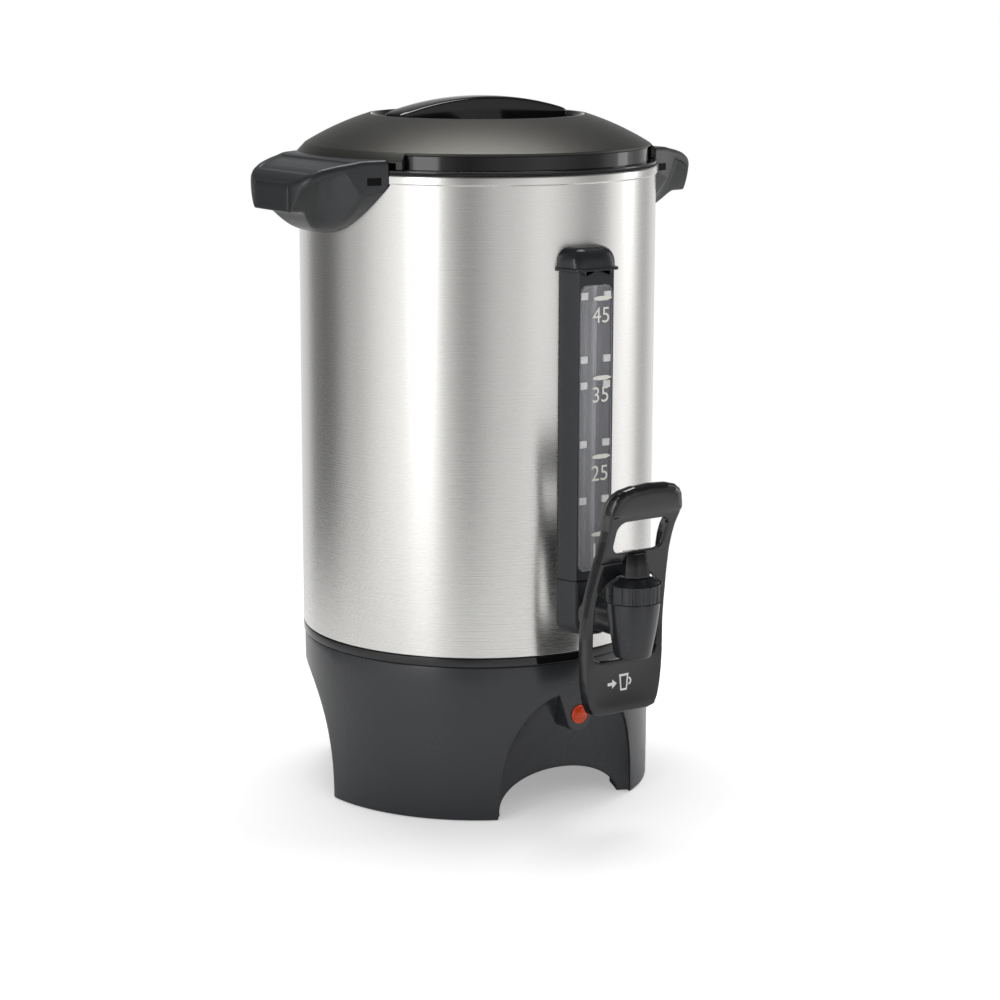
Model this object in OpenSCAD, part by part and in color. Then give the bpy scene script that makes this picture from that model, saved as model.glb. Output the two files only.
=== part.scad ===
// Percolating coffee urn with a push-lever tap and a level gauge.
// The tank's axis is Z, the table is z = 0, the tap points along -Y and the handles lie along X.

/* [Tank] */
// Outer radius of the steel wall
tank_r = 108.5; // [107:0.5:110]
// Thickness of the steel
tank_wall = 0.9; // [0.7:0.1:1.2]
// Height of the wall's lower edge above the table
tank_low_z = 101; // [100:0.5:103]
// Height of the top of the rolled rim
rim_z = 383.8; // [376:0.2:392]
// Height of the rolled rim band
rim_band_h = 5.8; // [5:0.1:6.5]
// How far the rim band stands out from the wall
rim_band_out = 1.2; // [1:0.1:1.4]
// Height of the floor above the wall's lower edge
floor_rise = 5; // [4.5:0.5:6]
// Inside radius of the well in the middle of the floor
well_r = 23; // [21:0.5:24]
// Depth of the well
well_depth = 7.5; // [6.5:0.5:8.5]

/* [Base] */
// Outer radius of the legs at the table
base_foot_r = 107.2; // [106:0.2:107.4]
// Outer radius of the base under the collar
base_top_r = 107.8; // [107.4:0.2:108.4]
// Wall thickness of the base
base_wall = 3; // [2.5:0.1:3.5]
// Height of the glossy collar between base and tank
collar_h = 5.8; // [5:0.1:7]
// Height of the legs' lower edges above the table
leg_gap = 1; // [0.6:0.1:1.4]
// Width of each arch at the feet
arch_w = 99.8; // [94:0.2:102]
// Height of each arch at its crown
arch_h = 75; // [70:1:77]
// Width of the inner arch at the feet
inner_arch_w = 91; // [87:0.5:93]
// Height of the inner arch at its crown
inner_arch_h = 20; // [17:0.5:21]
// How far in the hollow under each arch runs at its crown
scoop_in = 29; // [25:0.5:31]
// How far in the hollow runs at the feet
scoop_foot_in = 2.5; // [2:0.1:3.5]
// How much the hollow's face is dished
scoop_dish = 4; // [2:0.5:5]
// Wall thickness of the hollow
scoop_wall = 2.6; // [2.2:0.1:3]
// Thickness of the sheet that closes the bottom
cover_t = 1.5; // [1:0.1:2]

/* [Lamp] */
// Height of the indicator lamp's centre
lamp_z = 61.3; // [60:0.1:63]
// Outer radius of the lamp's bezel
lamp_r = 5.75; // [5:0.05:6.5]
// Radius of the round end of the tongue that holds the lamp
tongue_r = 8.3; // [7.5:0.1:9]
// Height of the centre of the tongue's round end
tongue_z = 58.8; // [58:0.1:60]
// Width of the tongue where it meets the base wall
tongue_top_w = 29; // [26:0.5:32]

/* [Gauge] */
// Width of the gauge column at the tank
gauge_back_w = 34; // [32:0.5:36]
// Width of the gauge column's front face
gauge_front_w = 25.4; // [24.6:0.2:26.4]
// Distance of the front face from the tank's axis
gauge_front_y = 120.6; // [120.2:0.1:121.5]
// Height of the column's lower end
gauge_low_z = 113; // [111:0.5:114]
// Height of the seam between the lower fitting and the column
gauge_seam_z = 146.6; // [144:0.2:149]
// Height of the seam under the cap
gauge_top_z = 329; // [324:0.5:334]
// Height of the cap
gauge_cap_h = 13.4; // [12.5:0.1:15]
// Width of the window
window_w = 23; // [21:0.2:23.2]
// Gap from the column's lower end to the window
window_low_margin = 5.5; // [5:0.5:8]
// Gap from the window to the column's upper end
window_top_margin = 8; // [7:0.5:10]
// Radius of the window's corners
window_corner_r = 5; // [4:0.5:6]
// Outer radius of the glass tube
tube_r = 4; // [3.7:0.1:4.1]
// Wall thickness of the glass tube
tube_wall = 1; // [0.8:0.1:1.2]

/* [Tap] */
// Distance of the nozzle's axis from the tank's axis
tap_y = 158.5; // [157:0.5:161]
// Height of the shank's axis
shank_z = 127; // [126:0.5:128]
// Outer radius of the shank
shank_r = 9.5; // [9:0.1:10]
// Radius of the passage through the shank
shank_bore_r = 5.5; // [5:0.1:6]
// Radius of the nozzle body under the nut
nozzle_r = 15.9; // [15.2:0.1:16.2]
// Height of the nozzle's lower end
nozzle_low_z = 108.2; // [107.6:0.1:109]
// Height of the seam between the nozzle body and the nut
bonnet_low_z = 141.6; // [141:0.1:142.4]
// Height of the nut's scalloped band
bonnet_h = 10.8; // [10:0.1:11.4]
// Outer radius of the nut
bonnet_r = 17; // [16.6:0.1:17.6]
// Radius of the outlet
outlet_r = 5.5; // [5:0.1:6]
// Radius of the valve stem
stem_r = 3.15; // [2.9:0.05:3.3]
// Height of the pin that joins the stem and the lever
pin_z = 162.5; // [162:0.1:163]
// Radius of that pin
pin_r = 1.6; // [1.4:0.1:1.8]

/* [Lever] */
// Distance of the push plate's front face from the tank's axis
plate_y = 151.7; // [151.2:0.1:152.2]
// Height of the plate's lower edge
lever_low_z = 73; // [71:0.5:75]
// Height above which the lever leans forward
lean_z = 120; // [118:0.5:124]
// Height of the middle of the grip's top
lever_top_z = 213; // [211:0.5:216]
// How far the grip stands in front of the push plate
lean_y = 26.2; // [25:0.2:27]
// Width of the frame at its widest
lever_w = 56; // [55:0.5:58]
// Width of the neck under the grip
neck_w = 48; // [47:0.5:50]
// Width of the grip
grip_w = 52; // [50:0.5:54]
// Width of each rail seen from the front
rail_w = 4.6; // [4.2:0.1:5]
// Depth of the rails
rail_d = 9; // [8:0.5:10]
// Thickness of the push plate
plate_t = 3; // [2.6:0.1:3.5]

/* [Handles] */
// Distance of each handle's tip from the tank's axis
handle_x = 146; // [140:0.5:150]
// Width of the handle at its tip
handle_tip_w = 50; // [46:1:54]
// Width of the handle's bracket at the tank
bracket_w = 102; // [98:1:104]
// Height of the underside of the grip
handle_low_z = 362; // [358:0.5:364]
// Height of the bracket's lowest point
bracket_low_z = 347; // [344:0.5:350]
// Height of the handle's inner top edge above the rim
handle_rise = 7.9; // [7.4:0.1:8.2]

/* [Lid] */
// Outer radius of the dome's edge
dome_r = 105; // [104.4:0.1:105.6]
// Height of the dome's edge above the rim
dome_edge_h = 12.2; // [11.8:0.1:13]
// Radius of the recess in the dome
recess_r = 66; // [62:0.5:68]
// Height of the recess's edge above the rim
recess_edge_h = 29.9; // [28:0.1:32]
// Radius of the arc of the dome's outline
dome_arc_r = 171; // [150:1:200]
// Depth of the recess
recess_depth = 12; // [10:0.5:14]
// Wall thickness of the lid's mouldings
lid_wall = 2.2; // [2:0.1:2.4]
// Half of the angle that each ear covers
ear_angle = 32; // [31:0.5:33]
// Length of the grip bar
bar_l = 124; // [118:1:126]
// Height of the top of the grip bar above the rim
bar_top_h = 40.4; // [38:0.2:43]
// Width of the grip bar
bar_w = 20; // [17:0.5:23]

/* [Percolator] */
// Outer radius of the pump tube
pump_r = 6; // [5.5:0.1:6.5]
// Height of the pump tube's top below the rim
pump_top_gap = 10; // [8:0.5:14]
// Outer radius of the basket
basket_r = 75; // [68:1:80]
// Height of the basket
basket_h = 62; // [55:1:66]
// Height of the basket's floor above the tank floor
basket_z_rise = 192; // [180:1:196]

/* [Hidden] */

// Overrun that carries cuts through a face, and the gap between pieces that touch
over = 1;
gap = 0.3;
// Radial clearance of a shaft that turns or slides in its bore
running = 0.06;
$fn = 96;
// Facets of the wide cylinders that thin walls are cut to
wide_fn = 288;

// Tank
tank_in_r = tank_r - tank_wall;
rim_r = tank_r + rim_band_out;
floor_z = tank_low_z + floor_rise;
floor_under_z = floor_z - tank_wall;
well_z = floor_z - well_depth;
shank_hole_r = shank_r + gap;

// Base
collar_z = tank_low_z - gap - collar_h;
collar_out = 0.8;
collar_r = base_top_r + collar_out;
deck_t = 3;
deck_w = 20;
deck_r = base_top_r - deck_w;
deck_low_z = collar_z - deck_t;
arch_power = 2.4;
arch_angles = [0, 120, 240];
leg_angles = [60, 180, 300];
arch_steps = 24;
arch_lap = 1;
panel_steps = 21;
dish_foot_share = 0.1;
wall_mid_r = base_foot_r - base_wall / 2;
foot_y = sqrt(pow(base_foot_r, 2) - pow(arch_w / 2, 2));
cover_z = leg_gap + inner_arch_h;
cover_r = base_foot_r - base_wall - gap;
cover_cut_w = arch_w + 2 * scoop_wall + 2 * gap;
cover_cut_y = base_foot_r - scoop_in - scoop_wall - 2 * gap;
sole_t = 4;
sole_w = 18;
post_r = 4.5;
post_at_r = 92;
pilot_r = 1.5;
foot_pad_r = 7;
foot_pad_h = 2.4;
foot_stem_r = 2.5;
foot_head_r = 3.4;
foot_head_h = 2;
foot_at_r = 96;
post_turn = 16;
vent_l = 26;
vent_w = 3;
vents = 5;

// Studs under the tank that hold the base
stud_r = 2;
stud_at_r = 99;
stud_angles = [-90, 30, 150];
nut_h = 3.2;
nut_r = 4;

// Heater
spreader_r = 62;
spreader_t = 2.4;
element_r = 3.2;
brew_ring_r = 31;
warm_ring_r = 53;
element_leg_l = 14;
element_leg_r = 2;
element_leg_turn = 12;
thermostat_r = 7;
thermostat_h = 8;
thermostat_x = 42;
fuse_r = 2.6;
fuse_l = 18;
block_l = 34;
block_w = 12;
block_h = 14;
block_y = 60;

// Inlet
inlet_w = 32;
inlet_h = 25;
inlet_z = 46;
inlet_flange_t = 1.5;
inlet_body_w = 27;
inlet_body_h = 20;
inlet_body_d = 20;
inlet_wall = 1.8;
inlet_floor = 3;
inlet_pin_r = 1.3;
inlet_pin_gap = 7;
inlet_pin_rise = 4;
inlet_pin_l = 18;
pad_w = 40;
pad_h = 33;
pad_y = 107.9;
pad_d = 8;

// Lamp
lens_stem_r = 4;
lens_stem_l = 12;
lens_wall = 0.8;
lens_rim_t = 0.9;
lens_dome_h = 2.4;
neon_r = 3;
neon_l = 22;
tongue_y = 86;

// Gauge
gauge_back_y = tank_r + gap;
gauge_corner_r = 2.5;
column_z = gauge_seam_z + gap;
column_top_z = gauge_top_z - gap;
window_low_z = column_z + window_low_margin;
window_top_z = column_top_z - window_top_margin;
channel_back_y = gauge_back_y + tube_wall + gap;
tube_y = channel_back_y + gap + tube_r;
window_t = 1.4;
tube_low_z = shank_z + shank_r + gap;
tube_in_cap = 4.3;
tube_top_z = gauge_top_z + tube_in_cap;
seal_wall = 0.8;
seal_h = 6;
cap_out = 1.4;
cap_lip_out = 1.6;
cap_lip_h = 1.8;
cap_round_r = 9;
gauge_screw_rise = 8.5;
gauge_screw_l = 5;
gauge_screw_z = gauge_top_z + gauge_screw_rise;
gauge_screw_r = 1.8;
clip_h = 4;
clip_w = 1.4;
clip_shares = [0.25, 0.45, 0.655, 0.745, 0.965];

// Tap
nozzle_taper = 4.2;
nozzle_taper_power = 3;
taper_steps = 8;
nozzle_round_r = 3.6;
nozzle_neck_r = 13;
nozzle_neck_h = 7;
chamber_r = 11;
seat_z = 119.5;
shank_in_y = 96;
shank_collar_r = 12.5;
shank_collar_t = 3;
gasket_t = 1.2;
gasket_r = 12;
inner_gasket_r = 14;
inner_gasket_t = 3.5;
scallops = 18;
scallop_r = 1.5;
scallop_depth = 0.8;
bonnet_cone_r = 9.4;
bonnet_shoulder_r = 15.4;
bonnet_cone_h = 3.4;
bonnet_top_z = bonnet_low_z + bonnet_h + bonnet_cone_h;
bonnet_ceiling_z = bonnet_low_z + nozzle_neck_h;
cup_z = seat_z + gap;
cup_h = 5;
cup_r = 8;
cup_top_r = 5.6;
cup_floor = 2;
flange_rise = 1.4;
stem_flange_r = 7;
stem_flange_t = 1.6;
stem_flange_z = cup_z + cup_h + flange_rise;
stem_top_rise = 4;
spring_wire_r = 0.6;
spring_r = 5.2;
spring_turns = 6;
spring_steps = 20;
spring_sides = 10;
nut_t = 6;
shank_nut_r = 16;

// Lever
hub_r = 8.4;
hub_top_r = 7.2;
hub_sides = 8;
hub_low_z = bonnet_top_z + gap;
hub_rise = 7.4;
hub_high_z = pin_z + hub_rise;
bar_rise = 9;
bar_high_z = pin_z + bar_rise;
pin_l = 13.4;
slot_y = 5.6;
slot_rise = 5.2;
slot_x = stem_r + gap;
grip_roll_r = 7;
finger_low_z = bar_high_z;
finger_high_z = 191;
finger_w = 37;
finger_corner_r = 6;
opening_low_z = 105.5;
opening_corner_r = 5;
lean_power = 1.6;
lean_steps = 12;
lever_corner_r = 7;
rail_top_z = 195;
opening_high_z = 161.5;
// Half widths of the lever as shares of its widths, each with its height as a share of the lever's
foot_share = 0.44;
lever_shares = [[0.064, 0.455], [0.1, 0.472], [0.157, 0.4875], [0.24, 0.498], [0.336, 0.5], [0.43, 0.493],
    [0.514, 0.481], [0.6, 0.458]];
neck_shares = [[0.693, 0.504], [0.76, 0.497], [0.807, 0.502], [0.84, 0.518]];
grip_shares = [[0.879, 0.5], [0.9, 0.504], [0.921, 0.498], [0.945, 0.476], [0.964, 0.438], [0.982, 0.365],
    [0.995, 0.23], [1, 0]];
// The same for the lower opening
opening_shares = [[0.72, 1], [0.8, 0.94], [0.87, 0.83], [0.93, 0.66], [0.975, 0.45], [1, 0.2]];

// Handles
bracket_gap = 0.4;
bracket_gap_r = rim_r + bracket_gap;
hook_angle = 12;
hook_in = 3;
hook_low = 2.8;
hook_h = 2.9;
handle_screw_r = 2;
handle_screw_z = 369;
handle_screw_y = 14;
handle_screw_l = 14;
screw_head_r = 3.8;
screw_head_h = 2.2;
bracket_side_rise = 31;
bracket_drop = bracket_side_rise / pow(bracket_w / 2, 2);
bracket_steps = 12;

// Lid
dome_edge_z = rim_z + dome_edge_h;
recess_edge_z = rim_z + recess_edge_h;
seal_gap = 0.2;
seal_t = 0.6;
flange_low_z = rim_z + 2 * seal_gap + seal_t;
flange_t = 1.4;
flange_top_z = flange_low_z + flange_t;
flange_r = rim_r - gap;
skirt_r = 103.6;
plug_gap = 3.6;
plug_r = tank_in_r - plug_gap;
plug_h = 6;
ledge_r = 94;
ear_r = rim_r - gap;
ear_rim_h = 7.5;
ear_wall = 1.4;
ear_end_angle = 2;
ear_end_in = 3.4;
notch_extra_angle = 1.5;
notch_angle = hook_angle + notch_extra_angle;
notch_r = bracket_gap_r - hook_in - gap;
dish_z = recess_edge_z - recess_depth;
dish_floor_r = 56;
bar_top_r = 215;
bar_edge_r = 6;
bar_steps = 16;
liner_r = 98;
liner_t = 1;
lid_screw_r = 1.8;
lid_screw_at = 44;
lid_screw_l = 8;
lid_boss_r = 5;
dome_lip_h = 1.4;
dome_steps = 16;

// Percolator
pump_wall = 0.9;
pump_low_z = well_z + gap;
pump_top_z = rim_z - pump_top_gap;
foot_r = well_r - 3;
foot_t = 1.2;
foot_h = 8.6;
foot_hole_r = 1.8;
foot_holes = 6;
foot_hole_at = 12;
washer_r = 16;
washer_t = 1.4;
washer_lift = 1.6;
basket_z = floor_z + basket_z_rise;
basket_wall = 0.9;
basket_sleeve_t = 1.6;
basket_holes = 12;
basket_hole_r = 1.6;
basket_hole_rows = [24, 40, 56];
basket_bead = 1.2;
basket_stop_w = 6;
basket_stop_t = 2;
tube_flange_w = 2.4;
tube_flange_t = 1;
cover_dome_h = 5;

function on_arch(t, w, h, p) =
    [sign(cos(t)) * w / 2 * pow(abs(cos(t)), 2 / p), h * pow(abs(sin(t)), 2 / p)];
function unit(v) = v / norm(v);
function arc(c, r, a, b, n) = [for (i = [0:n]) c + r * [cos(a + (b - a) * i / n), sin(a + (b - a) * i / n)]];

// Ring from radius a to radius b, from height z upward by h
module ring(a, b, z, h) {
    translate([0, 0, z])
        difference() {
            cylinder(r = b, h = h);
            translate([0, 0, -over])
                cylinder(r = a, h = h + 2 * over);
        }
}

// Cylinder that lies along Y at height z, from distance a to distance b in front of the axis
module front_rod(r, z, a, b) {
    translate([0, -a, z])
        rotate([90, 0, 0])
            cylinder(r = r, h = b - a);
}

// Outline in the XZ plane pushed forward, from distance a to distance b in front of the axis
module front_block(a, b) {
    translate([0, -a, 0])
        rotate([90, 0, 0])
            linear_extrude(b - a)
                children();
}

// Rectangle with round corners, centred across and standing on y = low
module round_window(w, low, high, r) {
    translate([-w / 2, low + r])
        square([w, high - low - 2 * r]);
    translate([r - w / 2, low])
        square([w - 2 * r, high - low]);
    for (x = [r - w / 2, w / 2 - r], y = [low + r, high - r])
        translate([x, y])
            circle(r);
}

// Tank

module tank() {
    color("silver")
        difference() {
            rotate_extrude()
                tank_outline();
            front_rod(shank_hole_r, shank_z, tank_in_r - 3 * over, tank_r + over);
            front_rod(gauge_screw_r + gap, gauge_screw_z, tank_in_r - 3 * over, tank_r + over);
            for (side = [-1, 1], y = [-handle_screw_y, handle_screw_y])
                translate([side * (tank_r - 4 * over), y, handle_screw_z])
                    rotate([0, side * 90, 0])
                        cylinder(r = handle_screw_r + gap, h = 8 * over);
        }
}

module tank_outline() {
    polygon([
        [0, well_z - tank_wall], [well_r + tank_wall, well_z - tank_wall],
        [well_r + tank_wall, floor_under_z], [tank_in_r - over, floor_under_z],
        [tank_in_r, floor_under_z], [tank_in_r, tank_low_z], [tank_r, tank_low_z],
        [tank_r, rim_z - rim_band_h], [rim_r, rim_z - rim_band_h + rim_band_out],
        [rim_r, rim_z - rim_band_out], [rim_r - rim_band_out / 2, rim_z],
        [tank_in_r + tank_wall / 2, rim_z], [tank_in_r, rim_z - tank_wall],
        [tank_in_r, floor_z], [well_r, floor_z], [well_r, well_z], [0, well_z]
    ]);
}

// Base

function base_r_at(z) = base_foot_r + (base_top_r - base_foot_r) * (z - leg_gap) / (collar_z - leg_gap);

module arch_outline(lap) {
    polygon([
        for (i = [0:arch_steps]) on_arch(180 * i / arch_steps, arch_w + 2 * lap, arch_h + lap, arch_power)
            + [0, leg_gap],
        [-arch_w / 2 - lap, -over], [arch_w / 2 + lap, -over]
    ]);
}

module tongue_outline() {
    rise = leg_gap + arch_h + over - tongue_z;
    half = tongue_top_w / 2;
    top = norm([half, rise]);
    tip = atan2(rise, half) - acos(tongue_r / top);
    translate([0, tongue_z])
        polygon(concat(arc([0, 0], tongue_r, -180 - tip, tip, 16), [[half, rise], [-half, rise]]));
}

// Curved wall between the outer arch edge and the inner arch edge, swept from foot to foot
function outer_arch_at(t) =
    let (q = on_arch(t, arch_w + 2 * arch_lap, arch_h + arch_lap, arch_power))
    [q[0], -sqrt(pow(wall_mid_r, 2) - pow(q[0], 2)), q[1] + leg_gap + arch_lap];

module scoop_panel() {
    sections = [for (i = [0:panel_steps])
        let (
            t = 180 * i / panel_steps,
            q = on_arch(t, inner_arch_w, inner_arch_h, arch_power),
            rise = q[1] / inner_arch_h,
            inner_y = (foot_y - scoop_foot_in) * (1 - rise) + (base_foot_r - scoop_in) * rise,
            outer = outer_arch_at(t),
            inner = [q[0], -inner_y, q[1] + leg_gap + arch_lap],
            mid = (outer + inner) / 2 + [0, scoop_dish * (rise + dish_foot_share), 0],
            along = outer_arch_at(min(t + 2, 180)) - outer_arch_at(max(t - 2, 0)),
            push = scoop_wall * unit(cross(inner - outer, along))
        )
        [outer, mid, inner, inner + push, mid + push, outer + push]];
    sides = len(sections[0]);
    halves = [[0, 1, 4, 5], [1, 2, 3, 4]];
    polyhedron(
        points = [for (s = sections) for (p = s) p],
        faces = [
            for (h = halves) [for (j = [3:-1:0]) h[j]],
            for (h = halves) [for (j = h) panel_steps * sides + j],
            for (i = [0:panel_steps - 1], j = [0:sides - 1])
                let (a = i * sides + j, b = i * sides + (j + 1) % sides)
                [a, b + sides, a + sides],
            for (i = [0:panel_steps - 1], j = [0:sides - 1])
                let (a = i * sides + j, b = i * sides + (j + 1) % sides)
                [a, b, b + sides]
        ]
    );
}

module base_outline() {
    polygon([
        [base_foot_r, leg_gap], [base_top_r, collar_z], [deck_r, collar_z], [deck_r, deck_low_z],
        [base_top_r - base_wall, deck_low_z], [base_foot_r - base_wall, leg_gap]
    ]);
}

module base_shell() {
    difference() {
        rotate_extrude()
            base_outline();
        front_block(foot_y - 3 * base_wall, base_top_r + over)
            difference() {
                arch_outline(0);
                tongue_outline();
            }
        for (a = [arch_angles[1], arch_angles[2]])
            rotate([0, 0, a])
                front_block(foot_y - 3 * base_wall, base_top_r + over)
                    arch_outline(0);
    }
    for (a = arch_angles)
        rotate([0, 0, a])
            scoop_panel();
    front_block(tongue_y, sqrt(pow(wall_mid_r, 2) - pow(tongue_top_w / 2, 2)))
        tongue_outline();
}

module leg_soles() {
    difference() {
        ring(wall_mid_r - sole_w, wall_mid_r, leg_gap, sole_t);
        for (a = arch_angles)
            rotate([0, 0, a])
                translate([-(arch_w + scoop_wall) / 2, -base_top_r, leg_gap - over])
                    cube([arch_w + scoop_wall, base_top_r - foot_y / 2, sole_t + 2 * over]);
    }
}

// Children repeated at the three legs, at radius r and turned by t from each leg's middle
module at_legs(r, t) {
    for (a = leg_angles)
        rotate([0, 0, a + t])
            translate([0, -r, 0])
                children();
}

module base_housing() {
    color("#2b2c2e")
        difference() {
            union() {
                base_shell();
                leg_soles();
                at_legs(post_at_r, post_turn)
                    translate([0, 0, cover_z + cover_t])
                        cylinder(r = post_r, h = deck_low_z + deck_t / 2 - cover_z - cover_t);
                translate([-pad_w / 2, pad_y - pad_d, inlet_z - pad_h / 2])
                    cube([pad_w, pad_d, pad_h]);
            }
            for (a = stud_angles)
                rotate([0, 0, a])
                    translate([stud_at_r, 0, deck_low_z - over])
                        cylinder(r = stud_r + gap, h = deck_t + 2 * over);
            front_rod(lens_stem_r + running, lamp_z, tongue_y - 4 * over, base_top_r + over);
            inlet_hole(gap);
            at_legs(foot_at_r, 0) {
                translate([0, 0, leg_gap - over])
                    cylinder(r = foot_pad_r + gap, h = foot_pad_h - leg_gap + over);
                cylinder(r = foot_stem_r + running, h = leg_gap + sole_t + over);
            }
            at_legs(post_at_r, post_turn)
                translate([0, 0, cover_z])
                    cylinder(r = pilot_r, h = (deck_low_z - cover_z) / 4);
        }
}

module inlet_hole(fit) {
    translate([-inlet_body_w / 2 - fit, pad_y - pad_d - over, inlet_z - inlet_body_h / 2 - fit])
        cube([inlet_body_w + 2 * fit, pad_d + 2 * over, inlet_body_h + 2 * fit]);
}

module base_collar() {
    spigot_r = tank_in_r - gap;
    spigot_z = floor_under_z - over;
    top_z = collar_z + collar_h;
    edge = collar_h / 10;
    color("#101113")
        difference() {
            rotate_extrude()
                polygon([
                    [stud_at_r - 2 * nut_r, collar_z], [collar_r - edge, collar_z],
                    [collar_r, collar_z + edge], [collar_r, top_z - edge], [collar_r - edge, top_z],
                    [spigot_r, top_z], [spigot_r, spigot_z], [spigot_r - base_wall, spigot_z],
                    [spigot_r - base_wall, top_z], [stud_at_r - 2 * nut_r, top_z]
                ]);
            for (a = stud_angles)
                rotate([0, 0, a])
                    translate([stud_at_r, 0, collar_z - over])
                        cylinder(r = stud_r + gap, h = spigot_z);
        }
}

module bottom_cover() {
    color("#3a3b3d")
        translate([0, 0, cover_z])
            difference() {
                cylinder(r = cover_r, h = cover_t);
                for (a = arch_angles)
                    rotate([0, 0, a])
                        translate([-cover_cut_w / 2, -base_top_r, -over])
                            cube([cover_cut_w, base_top_r - cover_cut_y, cover_t + 2 * over]);
                at_legs(post_at_r, post_turn)
                    translate([0, 0, -over])
                        cylinder(r = pilot_r + gap, h = cover_t + 2 * over);
                for (i = [0:vents - 1])
                    translate([-vent_l / 2, (2 * i - vents + 1) * 2 * vent_w, -over])
                        cube([vent_l, vent_w, cover_t + 2 * over]);
            }
}

module cover_screws() {
    color("gray")
        at_legs(post_at_r, post_turn) {
            translate([0, 0, cover_z - screw_head_h])
                cylinder(r = screw_head_r, h = screw_head_h);
            translate([0, 0, cover_z - over])
                cylinder(r = pilot_r - running, h = cover_t + over + 3 * screw_head_r);
        }
}

module rubber_feet() {
    color("#1c1c1c")
        at_legs(foot_at_r, 0) {
            cylinder(r = foot_pad_r, h = foot_pad_h);
            translate([0, 0, foot_pad_h / 2])
                cylinder(r = foot_stem_r, h = leg_gap + sole_t + gap + foot_head_h - foot_pad_h / 2);
            translate([0, 0, leg_gap + sole_t + gap])
                cylinder(r = foot_head_r, h = foot_head_h);
        }
}

module base_studs() {
    low = deck_low_z - nut_h - stud_r;
    color("gray")
        for (a = stud_angles)
            rotate([0, 0, a])
                translate([stud_at_r, 0, low])
                    cylinder(r = stud_r, h = floor_under_z - low);
}

module base_nuts() {
    color("gray")
        for (a = stud_angles)
            rotate([0, 0, a])
                translate([stud_at_r, 0, deck_low_z - nut_h])
                    difference() {
                        cylinder(r = nut_r, h = nut_h, $fn = 6);
                        translate([0, 0, -over])
                            cylinder(r = stud_r + running, h = nut_h + 2 * over);
                    }
}

// Heater, fixed under the tank floor

spreader_z = floor_under_z - spreader_t;
element_z = spreader_z - element_r - running;

module heat_spreader() {
    color("lightgray")
        ring(well_r + tank_wall + gap, spreader_r, spreader_z, spreader_t);
}

// Sheathed heating element: an open ring whose two ends turn down
module element(r, turn) {
    half = element_leg_turn * brew_ring_r / r;
    translate([0, 0, element_z])
        rotate([0, 0, turn]) {
            rotate([0, 0, half])
                rotate_extrude(angle = 360 - 2 * half)
                    translate([r, 0])
                        circle(element_r, $fn = 32);
            for (side = [-1, 1])
                rotate([0, 0, side * (half + element_leg_turn / 3)])
                    translate([r, 0, -element_leg_l])
                        cylinder(r = element_leg_r, h = element_leg_l, $fn = 32);
        }
}

module brew_element() {
    color("#8a7f72")
        element(brew_ring_r, 90);
}

module warming_element() {
    color("#8a7f72")
        element(warm_ring_r, 120);
}

module thermostat() {
    color("#e8e2d0")
        translate([thermostat_x, 0, spreader_z - thermostat_h])
            cylinder(r = thermostat_r, h = thermostat_h);
}

module thermal_fuse() {
    color("#c9b37a")
        translate([-thermostat_x, -fuse_l / 2, spreader_z - fuse_r - running])
            rotate([-90, 0, 0])
                cylinder(r = fuse_r, h = fuse_l);
}

module terminal_block() {
    color("#d8d4c8")
        translate([-block_l / 2, block_y - block_w / 2, cover_z + cover_t])
            difference() {
                cube([block_l, block_w, block_h]);
                for (i = [1, 2, 3])
                    translate([block_l * i / 4, -over, block_h / 2])
                        rotate([-90, 0, 0])
                            cylinder(r = block_l / 14, h = block_w + 2 * over);
            }
}

module power_inlet() {
    inner_w = inlet_body_w - 2 * inlet_wall;
    inner_h = inlet_body_h - 2 * inlet_wall;
    back_y = pad_y + inlet_flange_t - inlet_body_d;
    color("#1a1a1a")
        difference() {
            union() {
                translate([-inlet_w / 2, pad_y, inlet_z - inlet_h / 2])
                    cube([inlet_w, inlet_flange_t, inlet_h]);
                translate([-inlet_body_w / 2, back_y, inlet_z - inlet_body_h / 2])
                    cube([inlet_body_w, inlet_body_d - inlet_flange_t / 2, inlet_body_h]);
            }
            translate([-inner_w / 2, back_y + inlet_floor, inlet_z - inner_h / 2])
                cube([inner_w, inlet_body_d, inner_h]);
            inlet_pin_places()
                translate([0, -over - inlet_pin_l, 0])
                    rotate([-90, 0, 0])
                        cylinder(r = inlet_pin_r + running, h = 2 * inlet_pin_l);
        }
}

// Children at the three pins of the inlet, with Y measured from the floor of its socket
module inlet_pin_places() {
    floor_y = pad_y + inlet_flange_t - inlet_body_d + inlet_floor;
    for (q = [[-inlet_pin_gap, -inlet_pin_rise / 2], [inlet_pin_gap, -inlet_pin_rise / 2], [0, inlet_pin_rise]])
        translate([q[0], floor_y, inlet_z + q[1]])
            children();
}

module inlet_pins() {
    color("silver")
        inlet_pin_places()
            translate([0, -inlet_pin_l / 2, 0])
                rotate([-90, 0, 0])
                    cylinder(r = inlet_pin_r, h = inlet_pin_l + inlet_floor);
}

// Lamp

module lamp_lens() {
    face_y = base_r_at(lamp_z) + running;
    dome_base_r = lamp_r - lens_rim_t;
    sphere_r = (pow(dome_base_r, 2) + pow(lens_dome_h, 2)) / (2 * lens_dome_h);
    color("orangered")
        translate([0, 0, lamp_z])
            rotate([90, 0, 0])
                rotate_extrude()
                    difference() {
                        union() {
                            translate([0, face_y - lens_stem_l])
                                square([lens_stem_r, lens_stem_l + lens_rim_t / 2]);
                            translate([0, face_y])
                                square([lamp_r, lens_rim_t]);
                            intersection() {
                                translate([0, face_y + lens_rim_t + lens_dome_h - sphere_r])
                                    circle(sphere_r);
                                translate([0, face_y])
                                    square([dome_base_r, lens_rim_t + lens_dome_h]);
                            }
                        }
                        translate([-over, face_y - lens_stem_l - over])
                            square([over + lens_stem_r - lens_wall, lens_stem_l + over - lens_wall]);
                    }
}

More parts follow.
